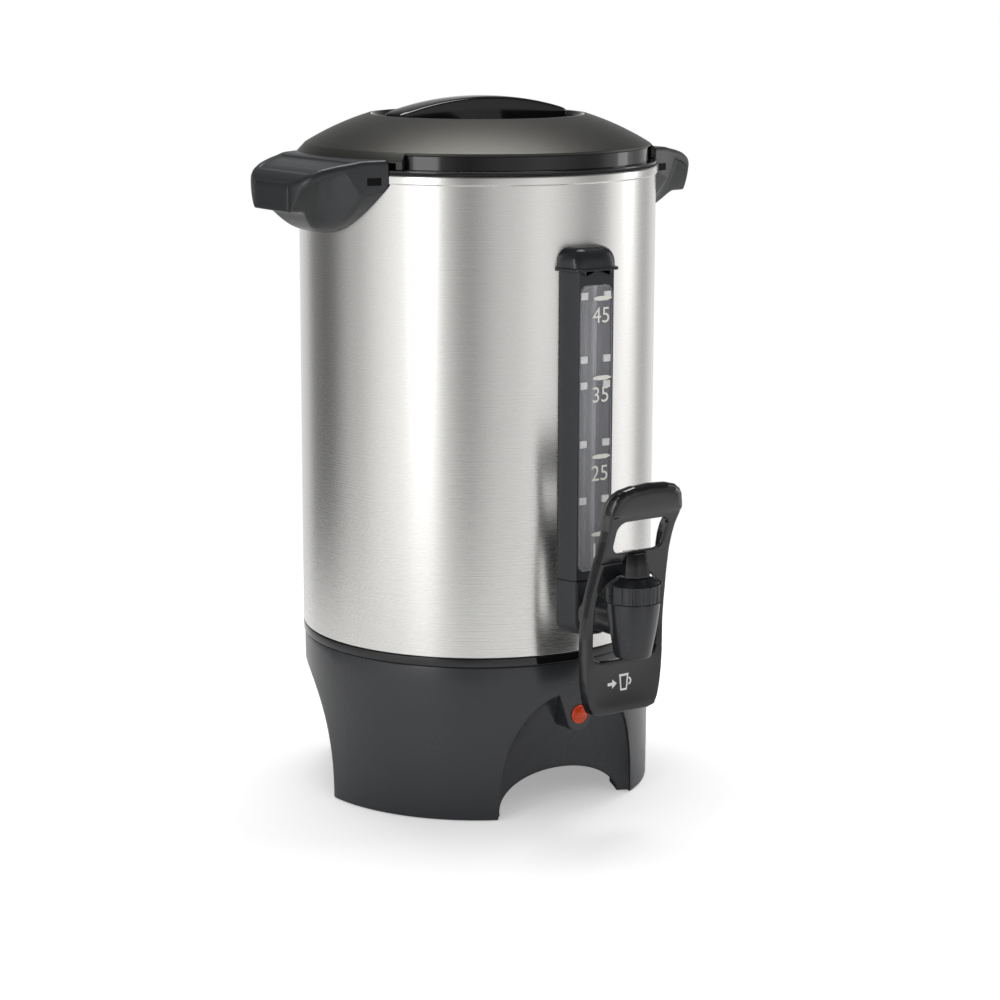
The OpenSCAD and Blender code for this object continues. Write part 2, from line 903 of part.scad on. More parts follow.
module neon_lamp() {
    color("#f0b080")
        front_rod(neon_r, lamp_z, base_r_at(lamp_z) - 2 * lens_wall - neon_l, base_r_at(lamp_z) - 2 * lens_wall);
}

// Handles: three outlines crossed, then cut to the tank

function handle_at(q) = [rim_r + q[0] * (handle_x - rim_r),
    handle_low_z + q[1] * (rim_z + handle_rise - handle_low_z)];
function gusset_at(q) = [rim_r + q[0] * (handle_x - rim_r),
    bracket_low_z + q[1] * (handle_low_z - bracket_low_z)];

handle_top_shares = [[0, 1], [0.15, 0.96], [0.40, 0.905], [0.63, 0.835], [0.82, 0.72], [0.94, 0.6], [1, 0.5]];
handle_tip_shares = [[1, 0.08], [0.95, 0]];
gusset_shares = [[0.69, 1], [0.6, 0.66], [0.45, 0.3], [0.3, 0.13], [0.15, 0.07], [0, 0]];

module handle_plan() {
    corner_r = handle_tip_w * 0.32;
    corner = [handle_x - corner_r, handle_tip_w / 2 - corner_r / 3];
    root_x = tank_r * cos(asin(bracket_w / 2 / tank_r));
    root = [root_x + 2 * base_wall, bracket_w / 2];
    away = root - corner;
    turn = atan2(away[1], away[0]) - acos(corner_r / norm(away));
    side = concat(arc(corner, corner_r, 0, turn, 8), [root, [root_x - base_wall, bracket_w / 2]]);
    polygon(concat(side, [for (i = [len(side) - 1:-1:0]) [side[i][0], -side[i][1]]]));
}

module handle_side() {
    points = concat(
        [for (q = handle_top_shares) handle_at(q)],
        [for (q = handle_tip_shares) handle_at(q)],
        [for (q = gusset_shares) gusset_at(q)]
    );
    polygon(concat(points, [
        [tank_r / 2, bracket_low_z], [tank_r / 2, rim_z + handle_rise]
    ]));
}

module handle_front() {
    half = bracket_w / 2;
    polygon(concat(
        [for (i = [-bracket_steps:bracket_steps])
            let (y = half * i / bracket_steps) [y, bracket_low_z + bracket_drop * y * y]],
        [[half, rim_z + handle_rise + over], [-half, rim_z + handle_rise + over]]
    ));
}

module handle() {
    high = rim_z + handle_rise + over;
    color("#333436") {
        difference() {
            intersection() {
                linear_extrude(high)
                    handle_plan();
                translate([0, bracket_w, 0])
                    rotate([90, 0, 0])
                        linear_extrude(2 * bracket_w)
                            handle_side();
                rotate([90, 0, 90])
                    linear_extrude(handle_x + over)
                        handle_front();
            }
            cylinder(r = tank_r + gap, h = high, $fn = wide_fn);
            translate([0, 0, rim_z - rim_band_h - gap])
                cylinder(r = bracket_gap_r, h = high, $fn = wide_fn);
            for (y = [-handle_screw_y, handle_screw_y])
                translate([tank_in_r - 2 * over, y, handle_screw_z])
                    rotate([0, 90, 0])
                        cylinder(r = handle_screw_r + running, h = handle_screw_l + 2 * over);
        }
        translate([0, 0, rim_z + hook_low])
            rotate([0, 0, -hook_angle])
                rotate_extrude(angle = 2 * hook_angle)
                    translate([bracket_gap_r - hook_in, 0])
                        square([hook_in + 2 * over, hook_h]);
    }
}

module handle_right() {
    handle();
}

module handle_left() {
    mirror([1, 0, 0])
        handle();
}

module handle_screws() {
    seat_x = sqrt(pow(tank_in_r, 2) - pow(handle_screw_y + screw_head_r, 2)) - gap;
    color("silver")
        for (side = [-1, 1], y = [-handle_screw_y, handle_screw_y])
            translate([side * seat_x, y, handle_screw_z]) {
                rotate([0, -side * 90, 0])
                    cylinder(r = screw_head_r, h = screw_head_h);
                rotate([0, side * 90, 0])
                    translate([0, 0, -over])
                        cylinder(r = handle_screw_r, h = handle_screw_l + over);
            }
}

// Gauge

module gauge_plan(out) {
    side_turn = -atan2((gauge_back_w - gauge_front_w) / 2, gauge_front_y - tank_r);
    corner = [gauge_front_w / 2 - gauge_corner_r / 2, gauge_corner_r - gauge_front_y];
    side = concat(
        [[gauge_back_w / 2 + out, -tank_r + 3 * over]],
        arc(corner, gauge_corner_r + out, side_turn, -90, 6)
    );
    polygon(concat(side, [for (i = [len(side) - 1:-1:0]) [-side[i][0], side[i][1]]]));
}

module tube_hole(r, low, high) {
    translate([0, -tube_y, low])
        cylinder(r = r, h = high - low);
}

module gauge_housing() {
    color("#303133")
        difference() {
            translate([0, 0, column_z])
                linear_extrude(column_top_z - column_z)
                    gauge_plan(0);
            cylinder(r = gauge_back_y, h = rim_z, $fn = wide_fn);
            front_block(channel_back_y, gauge_front_y + over)
                round_window(window_w + 2 * gap, window_low_z - gap, window_top_z + gap, window_corner_r + gap);
            tube_hole(tube_r + gap, column_z - over, rim_z);
        }
}

module gauge_base() {
    color("#303133")
        difference() {
            intersection() {
                translate([0, 0, gauge_low_z])
                    linear_extrude(gauge_seam_z - gauge_low_z)
                        gauge_plan(0);
                front_block(tank_r - 4 * over, gauge_front_y + over)
                    round_window(gauge_back_w + over, gauge_low_z, rim_z, cap_round_r);
            }
            cylinder(r = gauge_back_y, h = rim_z, $fn = wide_fn);
            front_rod(shank_r + running, shank_z, tank_r - 5 * over, gauge_front_y + over);
            tube_hole(tube_r + seal_wall + running, shank_z, rim_z);
        }
}

module gauge_cap() {
    color("#303133")
        difference() {
            union() {
                intersection() {
                    translate([0, 0, gauge_top_z])
                        linear_extrude(gauge_cap_h)
                            gauge_plan(cap_out);
                    front_block(tank_r - 4 * over, gauge_front_y + cap_out + over)
                        round_window(gauge_back_w + 2 * cap_out, gauge_low_z, gauge_top_z + gauge_cap_h,
                            cap_round_r);
                    gauge_cap_side();
                }
                translate([0, 0, gauge_top_z])
                    linear_extrude(cap_lip_h)
                        gauge_plan(cap_out + cap_lip_out);
            }
            cylinder(r = gauge_back_y, h = rim_z, $fn = wide_fn);
            tube_hole(tube_r + seal_wall + running, gauge_top_z - over, tube_top_z + gap);
            front_rod(gauge_screw_r - running, gauge_screw_z, tank_r - over, gauge_back_y + gauge_screw_l + gap);
        }
}

// Side view of the cap: round at its upper front edge
module gauge_cap_side() {
    front = gauge_front_y + cap_out;
    high = gauge_top_z + gauge_cap_h;
    translate([-gauge_back_w, 0, 0])
        rotate([90, 0, 90])
            linear_extrude(2 * gauge_back_w)
                polygon(concat(
                    [[-tank_r + 4 * over, gauge_top_z - over], [-tank_r + 4 * over, high]],
                    arc([cap_round_r - front, high - cap_round_r], cap_round_r, 90, 180, 10),
                    [[-front, gauge_top_z - over]]
                ));
}

module gauge_window() {
    color("azure", 0.4) {
        front_block(gauge_front_y - window_t, gauge_front_y)
            round_window(window_w, window_low_z, window_top_z, window_corner_r);
        for (share = clip_shares, side = [-1, 1])
            translate([
                side * (window_w / 2 - clip_w) - clip_w / 2,
                running - gauge_front_y + window_t / 2,
                window_low_z + share * (window_top_z - window_low_z) - clip_h / 2
            ])
                cube([clip_w, gauge_front_y - window_t / 2 - channel_back_y - gap, clip_h]);
    }
}

module gauge_tube() {
    color("azure", 0.4)
        translate([0, -tube_y, 0])
            ring(tube_r - tube_wall, tube_r, tube_low_z, tube_top_z - tube_low_z);
}

module tube_seal(z, h) {
    color("#b8442c")
        translate([0, -tube_y, 0])
            ring(tube_r + running, tube_r + seal_wall, z, h);
}

module lower_tube_seal() {
    tube_seal(gauge_seam_z - gap - seal_h, seal_h);
}

module upper_tube_seal() {
    tube_seal(gauge_top_z + gap, tube_in_cap - gap);
}

module gauge_screw() {
    seat_y = sqrt(pow(tank_in_r, 2) - pow(screw_head_r, 2)) - gap;
    color("silver") {
        front_rod(screw_head_r, gauge_screw_z, seat_y - screw_head_h, seat_y);
        front_rod(gauge_screw_r - 2 * running, gauge_screw_z, seat_y - over, gauge_back_y + gauge_screw_l);
    }
}

// Tap

module at_tap() {
    translate([0, -tap_y, 0])
        children();
}

module nozzle_outline() {
    shoulder_z = bonnet_low_z - gap;
    low_r = nozzle_r - nozzle_taper;
    polygon(concat(
        [[0, nozzle_low_z]],
        arc([low_r - nozzle_round_r, nozzle_low_z + nozzle_round_r], nozzle_round_r, -90, -12, 5),
        [for (i = [taper_steps - 1:-1:0])
            let (share = i / taper_steps)
            [nozzle_r - nozzle_taper * pow(share, nozzle_taper_power),
                shoulder_z - share * (shoulder_z - nozzle_low_z - nozzle_round_r)]],
        [[nozzle_neck_r, shoulder_z], [nozzle_neck_r, shoulder_z + nozzle_neck_h],
            [0, shoulder_z + nozzle_neck_h]]
    ));
}

module faucet_body() {
    collar_y = gauge_front_y + 2 * gap + gasket_t;
    color("#2a2b2d")
        difference() {
            union() {
                at_tap()
                    rotate_extrude()
                        nozzle_outline();
                front_rod(shank_r, shank_z, shank_in_y, tap_y - chamber_r);
                front_rod(shank_collar_r, shank_z, collar_y, collar_y + shank_collar_t);
            }
            at_tap() {
                translate([0, 0, nozzle_low_z - over])
                    cylinder(r = outlet_r, h = seat_z - nozzle_low_z + 2 * over);
                translate([0, 0, seat_z])
                    cylinder(r = chamber_r, h = bonnet_top_z - seat_z);
            }
            front_rod(shank_bore_r, shank_z, shank_in_y - over, tap_y - chamber_r + over);
            tube_hole(tube_r - tube_wall, shank_z, shank_z + shank_r + over);
        }
}

module outer_gasket() {
    color("#2a2a2a")
        difference() {
            front_rod(gasket_r, shank_z, gauge_front_y + gap, gauge_front_y + gap + gasket_t);
            front_rod(shank_r + running, shank_z, gauge_front_y, gauge_front_y + 2 * gasket_t);
        }
}

inner_gasket_y = tank_in_r - gap - inner_gasket_t;

module inner_gasket() {
    color("#2a2a2a")
        difference() {
            front_rod(inner_gasket_r, shank_z, inner_gasket_y, tank_r);
            ring(tank_in_r - gap, tank_r + 2 * over, shank_z - 2 * inner_gasket_r, 4 * inner_gasket_r,
                $fn = wide_fn);
            front_rod(shank_r + running, shank_z, shank_in_y, tank_r + over);
        }
}

module shank_nut() {
    color("#3c3c3e")
        difference() {
            translate([0, gap - inner_gasket_y, shank_z])
                rotate([-90, 0, 0])
                    cylinder(r = shank_nut_r, h = nut_t, $fn = 6);
            front_rod(shank_r + running, shank_z, shank_in_y - 2 * nut_t, tank_r);
        }
}

module bonnet() {
    cut_at = bonnet_r + scallop_r - scallop_depth;
    edge = bonnet_h / 16;
    high_z = bonnet_low_z + bonnet_h;
    color("#1d1e20")
        at_tap()
            difference() {
                rotate_extrude()
                    polygon([
                        [0, bonnet_low_z], [bonnet_r - edge, bonnet_low_z], [bonnet_r, bonnet_low_z + edge],
                        [bonnet_r, high_z - edge], [bonnet_r - edge, high_z], [bonnet_shoulder_r, high_z],
                        [bonnet_cone_r, bonnet_top_z], [0, bonnet_top_z]
                    ]);
                for (i = [0:scallops - 1])
                    rotate([0, 0, 360 * i / scallops])
                        translate([cut_at, 0, bonnet_low_z - over])
                            cylinder(r = scallop_r, h = bonnet_h - edge + over, $fn = 24);
                translate([0, 0, bonnet_low_z - over])
                    cylinder(r = nozzle_neck_r + running, h = bonnet_ceiling_z - bonnet_low_z + over);
                translate([0, 0, bonnet_low_z])
                    cylinder(r = stem_r + running, h = bonnet_top_z);
            }
}

module valve_stem() {
    foot_z = cup_z + cup_floor + gap;
    color("#c8c8c4")
        at_tap()
            difference() {
                union() {
                    translate([0, 0, foot_z])
                        cylinder(r = stem_r, h = pin_z + stem_top_rise - foot_z);
                    translate([0, 0, stem_flange_z])
                        cylinder(r = stem_flange_r, h = stem_flange_t);
                }
                translate([-2 * stem_r, 0, pin_z])
                    rotate([0, 90, 0])
                        cylinder(r = pin_r + running, h = 4 * stem_r);
            }
}

module seat_cup() {
    color("#c9ccd0")
        at_tap()
            difference() {
                translate([0, 0, cup_z])
                    cylinder(r1 = cup_r, r2 = cup_top_r, h = cup_h);
                translate([0, 0, cup_z + cup_floor])
                    cylinder(r = stem_r + running, h = cup_h);
            }
}

// Round wire wound on radius r, with its middle line from height low to height high
module coil(r, low, high) {
    n = spring_turns * spring_steps;
    m = spring_sides;
    polyhedron(
        points = [
            for (i = [0:n], j = [0:m - 1])
                let (a = 360 * i / spring_steps, b = 360 * j / m, d = r + spring_wire_r * cos(b))
                [d * cos(a), d * sin(a), low + (high - low) * i / n + spring_wire_r * sin(b)]
        ],
        faces = [
            [for (j = [m - 1:-1:0]) j],
            [for (j = [0:m - 1]) n * m + j],
            for (i = [0:n - 1], j = [0:m - 1])
                let (a = i * m + j, b = i * m + (j + 1) % m)
                [a, b, b + m],
            for (i = [0:n - 1], j = [0:m - 1])
                let (a = i * m + j, b = i * m + (j + 1) % m)
                [a, b + m, a + m]
        ]
    );
}

module valve_spring() {
    color("silver")
        at_tap()
            coil(spring_r, stem_flange_z + stem_flange_t + gap + spring_wire_r,
                bonnet_ceiling_z - gap - spring_wire_r);
}

// Lever

function lean(z) = z < lean_z ? 0 : lean_y * pow((z - lean_z) / (lever_top_z - lean_z), lean_power);

lever_h = lever_top_z - lever_low_z;

module mirrored_outline(side) {
    polygon(concat(side, [for (i = [len(side) - 1:-1:0]) [-side[i][0], side[i][1]]]));
}

module lever_outline() {
    corner = [lever_w * foot_share - lever_corner_r, lever_low_z + lever_corner_r];
    mirrored_outline(concat(
        arc(corner, lever_corner_r, -90, -10, 6),
        [for (q = lever_shares) [lever_w * q[1], lever_low_z + lever_h * q[0]]],
        [for (q = neck_shares) [neck_w * q[1], lever_low_z + lever_h * q[0]]],
        [for (q = grip_shares) [grip_w * q[1], lever_low_z + lever_h * q[0]]]
    ));
}

// The lever's hollow back, inside its rails
module lever_back_outline() {
    corner_w = lever_w * foot_share - rail_w;
    mirrored_outline(concat(
        [[corner_w, lever_low_z + rail_w]],
        [for (q = lever_shares) [lever_w * q[1] - rail_w, lever_low_z + rail_w + (lever_h - rail_w) * q[0]]],
        [[neck_w / 2 - rail_w, rail_top_z]]
    ));
}

// Side view of the lever from a depth d behind its front to the back of its rails
module lever_side(d, back) {
    heights = [for (i = [0:lean_steps]) lean_z + (lever_top_z - lean_z) * i / lean_steps];
    translate([-lever_w, 0, 0])
        rotate([90, 0, 90])
            linear_extrude(2 * lever_w)
                polygon(concat(
                    [[d - plate_y, lever_low_z - over]],
                    [for (z = heights) [d - plate_y - lean(z), z]],
                    [for (i = [lean_steps:-1:0]) [back - plate_y - lean(heights[i]), heights[i]]],
                    [[back - plate_y, lever_low_z - over]]
                ));
}

roll_z = lever_top_z - grip_roll_r;
roll_y = plate_y + lean(roll_z) - grip_roll_r;

// Cuts the corners off the grip so that its top is a roll
module grip_limit() {
    translate([-lever_w, 0, 0])
        rotate([90, 0, 90])
            linear_extrude(2 * lever_w) {
                translate([-roll_y, roll_z])
                    circle(grip_roll_r);
                translate([-roll_y - 3 * grip_roll_r, lever_low_z - over])
                    square([2 * tap_y, roll_z - grip_roll_r / 2 - lever_low_z]);
            }
}

module lever_openings() {
    low_w = lever_w - 2 * rail_w;
    opening_h = opening_high_z - opening_low_z;
    front_block(lever_w, tap_y + lever_w) {
        round_window(finger_w, finger_low_z, finger_high_z, finger_corner_r);
        mirrored_outline(concat(
            arc([low_w / 2 - opening_corner_r, opening_low_z + opening_corner_r], opening_corner_r, -90, 0, 6),
            [for (q = opening_shares) [low_w / 2 * q[1], opening_low_z + opening_h * q[0]]]
        ));
    }
}

module tap_lever() {
    color("#1f2022")
        difference() {
            union() {
                difference() {
                    intersection() {
                        front_block(lever_w, tap_y + lever_w)
                            lever_outline();
                        union() {
                            lever_side(0, rail_d);
                            grip_limit_core();
                        }
                        grip_limit();
                    }
                    intersection() {
                        front_block(lever_w, tap_y + lever_w)
                            lever_back_outline();
                        lever_side(plate_t, 3 * rail_d);
                    }
                    lever_openings();
                }
                at_tap()
                    translate([0, 0, hub_low_z])
                        rotate([0, 0, 180 / hub_sides])
                            cylinder(r1 = hub_r, r2 = hub_top_r, h = hub_high_z - hub_low_z, $fn = hub_sides);
            }
            at_tap() {
                translate([-slot_x, -slot_y, hub_low_z - over])
                    cube([2 * slot_x, 2 * slot_y, pin_z + slot_rise - hub_low_z + over]);
                translate([-lever_w, 0, pin_z])
                    rotate([0, 90, 0])
                        cylinder(r = pin_r + running, h = 2 * lever_w);
            }
        }
}

module grip_limit_core() {
    translate([-lever_w, -roll_y, roll_z])
        rotate([0, 90, 0])
            cylinder(r = grip_roll_r, h = 2 * lever_w);
}

module lever_pin() {
    color("silver")
        translate([-pin_l / 2, -tap_y, pin_z])
            rotate([0, 90, 0])
                cylinder(r = pin_r, h = pin_l);
}

// Percolator

module pump_tube() {
    washer_z = washer_rest_z();
    flange_z = washer_z - gap - tube_flange_t;
    color("lightgray")
        rotate_extrude()
            polygon([
                [pump_r - pump_wall, flange_z], [pump_r + tube_flange_w, flange_z],
                [pump_r + tube_flange_w, flange_z + tube_flange_t], [pump_r, flange_z + tube_flange_t],
                [pump_r, basket_z - gap - basket_stop_t], [pump_r + basket_stop_w, basket_z - gap - basket_stop_t],
                [pump_r + basket_stop_w, basket_z - gap], [pump_r, basket_z - gap], [pump_r, pump_top_z],
                [pump_r - pump_wall, pump_top_z]
            ]);
}

function washer_rest_z() = pump_low_z + foot_h - foot_t - gap - washer_lift - washer_t;

module pump_foot() {
    color("lightgray")
        difference() {
            rotate_extrude()
                polygon([
                    [pump_r + running, pump_low_z + foot_h - foot_t], [foot_r - foot_t, pump_low_z + foot_h - foot_t],
                    [foot_r - foot_t, pump_low_z], [foot_r, pump_low_z], [foot_r, pump_low_z + foot_h],
                    [pump_r + running, pump_low_z + foot_h]
                ]);
            for (i = [0:foot_holes - 1])
                rotate([0, 0, 360 * i / foot_holes])
                    translate([foot_hole_at, 0, pump_low_z])
                        cylinder(r = foot_hole_r, h = foot_h + over);
        }
}

module pump_washer() {
    color("silver")
        ring(pump_r + gap, washer_r, washer_rest_z(), washer_t);
}

// Holes of radius r in rings at the radii of rows, more of them in the wider rings
module hole_rows(r, rows, z, h) {
    for (i = [0:len(rows) - 1], j = [0:basket_holes * (i + 1) - 1])
        rotate([0, 0, 360 * j / (basket_holes * (i + 1))])
            translate([rows[i], 0, z])
                cylinder(r = r, h = h, $fn = 16);
}

module brew_basket() {
    top_z = basket_z + basket_h;
    in_r = basket_r - basket_wall;
    sleeve_in = pump_r + gap;
    color("gainsboro")
        difference() {
            rotate_extrude()
                polygon([
                    [sleeve_in, basket_z], [basket_r, basket_z], [basket_r, top_z - basket_bead],
                    [basket_r + basket_bead, top_z - basket_bead], [basket_r + basket_bead, top_z],
                    [in_r, top_z], [in_r, basket_z + basket_wall],
                    [sleeve_in + basket_sleeve_t, basket_z + basket_wall],
                    [sleeve_in + basket_sleeve_t, top_z - 2 * basket_bead], [sleeve_in, top_z - 2 * basket_bead]
                ]);
            hole_rows(basket_hole_r, basket_hole_rows, basket_z - over, basket_wall + 2 * over);
        }
}

module basket_cover() {
    low_z = basket_z + basket_h + gap;
    dome_z = low_z + cover_dome_h;
    color("gainsboro")
        difference() {
            rotate_extrude()
                polygon([
                    [pump_r + gap, dome_z], [basket_stop_w + 2 * pump_r, dome_z], [2 * basket_r / 3, low_z],
                    [basket_r + basket_bead, low_z], [basket_r + basket_bead, low_z + 3 * basket_wall],
                    [basket_r, low_z + 3 * basket_wall], [basket_r, low_z + basket_wall],
                    [2 * basket_r / 3, low_z + basket_wall],
                    [basket_stop_w + 2 * pump_r, dome_z + basket_wall], [pump_r + gap, dome_z + basket_wall]
                ]);
            hole_rows(basket_hole_r, basket_hole_rows, low_z - over, cover_dome_h + basket_wall + 2 * over);
        }
}

// Lid

dome_start = [dome_r, dome_edge_z];
dome_end = [recess_r, recess_edge_z];
dome_half = norm(dome_end - dome_start) / 2;
dome_mid = (dome_start + dome_end) / 2;
dome_turn = atan2(recess_edge_z - dome_edge_z, dome_r - recess_r);
dome_centre = dome_mid - sqrt(pow(dome_arc_r, 2) - pow(dome_half, 2)) * [sin(dome_turn), cos(dome_turn)];
dome_from = atan2(dome_edge_z - dome_centre[1], dome_r - dome_centre[0]);
dome_to = atan2(recess_edge_z - dome_centre[1], recess_r - dome_centre[0]);

// Sector of a turned outline, centred on +X and on -X
module both_ears(half) {
    for (side = [0, 180])
        rotate([0, 0, side - half])
            rotate_extrude(angle = 2 * half)
                children();
}

module lid_cover() {
    in_r = dome_arc_r - lid_wall;
    low_z = dome_edge_z - dome_lip_h;
    ear_z = rim_z + ear_rim_h;
    end_z = flange_top_z + gap;
    color("#4a4b4d") {
        rotate_extrude()
            polygon(concat(
                [[skirt_r + running, low_z], [dome_r, low_z]],
                arc(dome_centre, dome_arc_r, dome_from, dome_to, dome_steps),
                arc(dome_centre, in_r, dome_to, dome_from, dome_steps)
            ));
        both_ears(ear_angle)
            polygon([
                [dome_r - lid_wall / 2, dome_edge_z], [dome_r, dome_edge_z], [ear_r, ear_z],
                [ear_r, ear_z - ear_wall], [dome_r - lid_wall / 2, low_z]
            ]);
        difference() {
            both_ears(ear_angle)
                polygon([
                    [ear_r - ear_end_in, end_z], [ear_r, end_z], [ear_r, ear_z - ear_wall / 2],
                    [ear_r - ear_end_in, ear_z + ear_end_in - ear_wall]
                ]);
            both_ears(ear_angle - ear_end_angle)
                translate([skirt_r, flange_low_z])
                    square([2 * ear_end_in + over, ear_rim_h + ear_end_in]);
        }
    }
}

module notches() {
    both_ears(notch_angle)
        translate([notch_r, rim_z])
            square([rim_r - notch_r, flange_top_z]);
}

module lid_skirt() {
    top_z = dome_edge_z - dome_lip_h - gap;
    color("#0f1012")
        difference() {
            rotate_extrude()
                polygon([
                    [plug_r - lid_wall, flange_low_z - plug_h], [plug_r, flange_low_z - plug_h],
                    [plug_r, flange_low_z], [flange_r, flange_low_z], [flange_r, flange_top_z],
                    [skirt_r, flange_top_z], [skirt_r, top_z], [skirt_r - lid_wall, top_z],
                    [skirt_r - lid_wall, flange_top_z], [ledge_r, flange_top_z], [ledge_r, flange_low_z],
                    [plug_r - lid_wall, flange_low_z]
                ]);
            notches();
        }
}

module lid_seal() {
    color("#202020")
        difference() {
            ring(plug_r + gap, flange_r, rim_z + seal_gap, seal_t);
            notches();
        }
}

module at_lid_screws() {
    for (x = [-lid_screw_at, lid_screw_at])
        translate([x, 0, 0])
            children();
}

module lid_dish() {
    edge_r = recess_r - lid_wall * cos(dome_to) - gap;
    edge_z = recess_edge_z - gap / 2;
    boss_z = flange_top_z + 2 * gap + liner_t;
    color("#0f1012")
        difference() {
            union() {
                rotate_extrude()
                    polygon([
                        [0, dish_z], [dish_floor_r, dish_z], [edge_r - lid_wall / 2, edge_z], [edge_r, edge_z],
                        [edge_r, edge_z - lid_wall], [dish_floor_r + lid_wall / 2, dish_z - lid_wall],
                        [0, dish_z - lid_wall]
                    ]);
                at_lid_screws()
                    translate([0, 0, boss_z])
                        cylinder(r = lid_boss_r, h = dish_z - lid_wall / 2 - boss_z);
            }
            at_lid_screws()
                translate([0, 0, flange_low_z])
                    cylinder(r = lid_screw_r + running, h = dish_z);
        }
}

module lid_grip() {
    low_z = dish_z + gap;
    top_z = rim_z + bar_top_h;
    half = bar_l / 2;
    foot_half = sqrt(pow(dish_floor_r, 2) - pow(bar_w / 2, 2)) - gap;
    span = asin(half / bar_top_r);
    color("#1b1c1e")
        difference() {
            intersection() {
                translate([0, bar_w, 0])
                    rotate([90, 0, 0])
                        linear_extrude(2 * bar_w)
                            polygon(concat(
                                arc([0, top_z - bar_top_r], bar_top_r, 90 - span, 90 + span, bar_steps),
                                [[-foot_half, low_z], [foot_half, low_z]]
                            ));
                translate([-bar_l, 0, 0])
                    rotate([90, 0, 90])
                        linear_extrude(2 * bar_l) {
                            translate([-bar_w / 2, low_z - over])
                                square([bar_w, top_z - low_z - bar_edge_r]);
                            translate([bar_edge_r - bar_w / 2, low_z])
                                square([bar_w - 2 * bar_edge_r, top_z + over - low_z]);
                        }
            }
            at_lid_screws()
                translate([0, 0, low_z - over])
                    cylinder(r = lid_screw_r - running, h = lid_screw_l + over);
        }
}

module lid_liner() {
    color("silver")
        difference() {
            translate([0, 0, flange_top_z + gap])
                cylinder(r = liner_r, h = liner_t);
            at_lid_screws()
                translate([0, 0, flange_top_z])
                    cylinder(r = lid_screw_r + gap, h = liner_t + over);
        }
}

module lid_screws() {
    color("silver")
        at_lid_screws()
            translate([0, 0, flange_top_z - screw_head_h]) {
                cylinder(r = screw_head_r, h = screw_head_h);
                cylinder(r = lid_screw_r - 2 * running, h = dish_z + lid_screw_l - flange_top_z + screw_head_h);
            }
}

tank();
base_housing();
base_collar();
bottom_cover();
cover_screws();
rubber_feet();
base_studs();
base_nuts();
heat_spreader();
brew_element();
warming_element();
thermostat();
thermal_fuse();
terminal_block();
power_inlet();
inlet_pins();
lamp_lens();
neon_lamp();
handle_left();
handle_right();
handle_screws();
gauge_housing();
gauge_base();
gauge_cap();
gauge_window();
gauge_tube();
upper_tube_seal();
lower_tube_seal();
gauge_screw();
faucet_body();
bonnet();
outer_gasket();
inner_gasket();
shank_nut();
valve_stem();
seat_cup();
valve_spring();
tap_lever();
lever_pin();
pump_tube();
pump_foot();
pump_washer();
brew_basket();
basket_cover();
lid_cover();
lid_skirt();
lid_dish();
lid_grip();
lid_liner();
lid_screws();
lid_seal();
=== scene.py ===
import math

import bmesh
import bpy
import numpy as np
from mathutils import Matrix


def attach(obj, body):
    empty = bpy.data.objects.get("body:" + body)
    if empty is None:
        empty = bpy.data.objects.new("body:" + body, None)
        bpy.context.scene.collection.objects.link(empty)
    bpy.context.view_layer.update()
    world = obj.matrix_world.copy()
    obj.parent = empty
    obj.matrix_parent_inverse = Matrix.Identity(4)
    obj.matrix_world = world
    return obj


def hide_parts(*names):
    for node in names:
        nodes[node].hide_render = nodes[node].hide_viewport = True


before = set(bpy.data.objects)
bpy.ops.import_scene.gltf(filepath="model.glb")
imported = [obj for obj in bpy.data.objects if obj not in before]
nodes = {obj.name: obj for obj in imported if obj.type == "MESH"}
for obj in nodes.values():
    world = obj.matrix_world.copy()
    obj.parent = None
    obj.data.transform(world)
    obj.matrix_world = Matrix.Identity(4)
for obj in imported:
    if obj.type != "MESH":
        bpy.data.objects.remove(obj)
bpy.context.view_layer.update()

scene = bpy.context.scene

# The camera stands about 35 degrees to the left of the tap and looks down on the urn by about twelve
# degrees. Its place and lens were worked out from the photograph.
camera_data = bpy.data.cameras.new("photo_camera")
camera_data.lens = 94.789
camera_data.sensor_width = 36
camera_data.dof.use_dof = False
camera = bpy.data.objects.new("photo_camera", camera_data)
camera.location = (-0.918849, -1.322050, 0.502631)
camera.rotation_euler = (math.radians(78.469005), math.radians(-0.177259), math.radians(-35.275061))
scene.collection.objects.link(camera)
scene.camera = camera
scene.view_settings.view_transform = "Standard"


# The studio: a white surround, a pale floor and three soft boxes. Brushed steel and black gloss see
# the surround as broad upright bands, brighter at the boxes and greyer between them.
def node_tools(tree):
    """For a node tree: a function that adds nodes of the named kinds, and the one that joins two sockets."""
    def add(*kinds):
        return [tree.nodes.new("ShaderNode" + kind) for kind in kinds]
    return add, tree.links.new


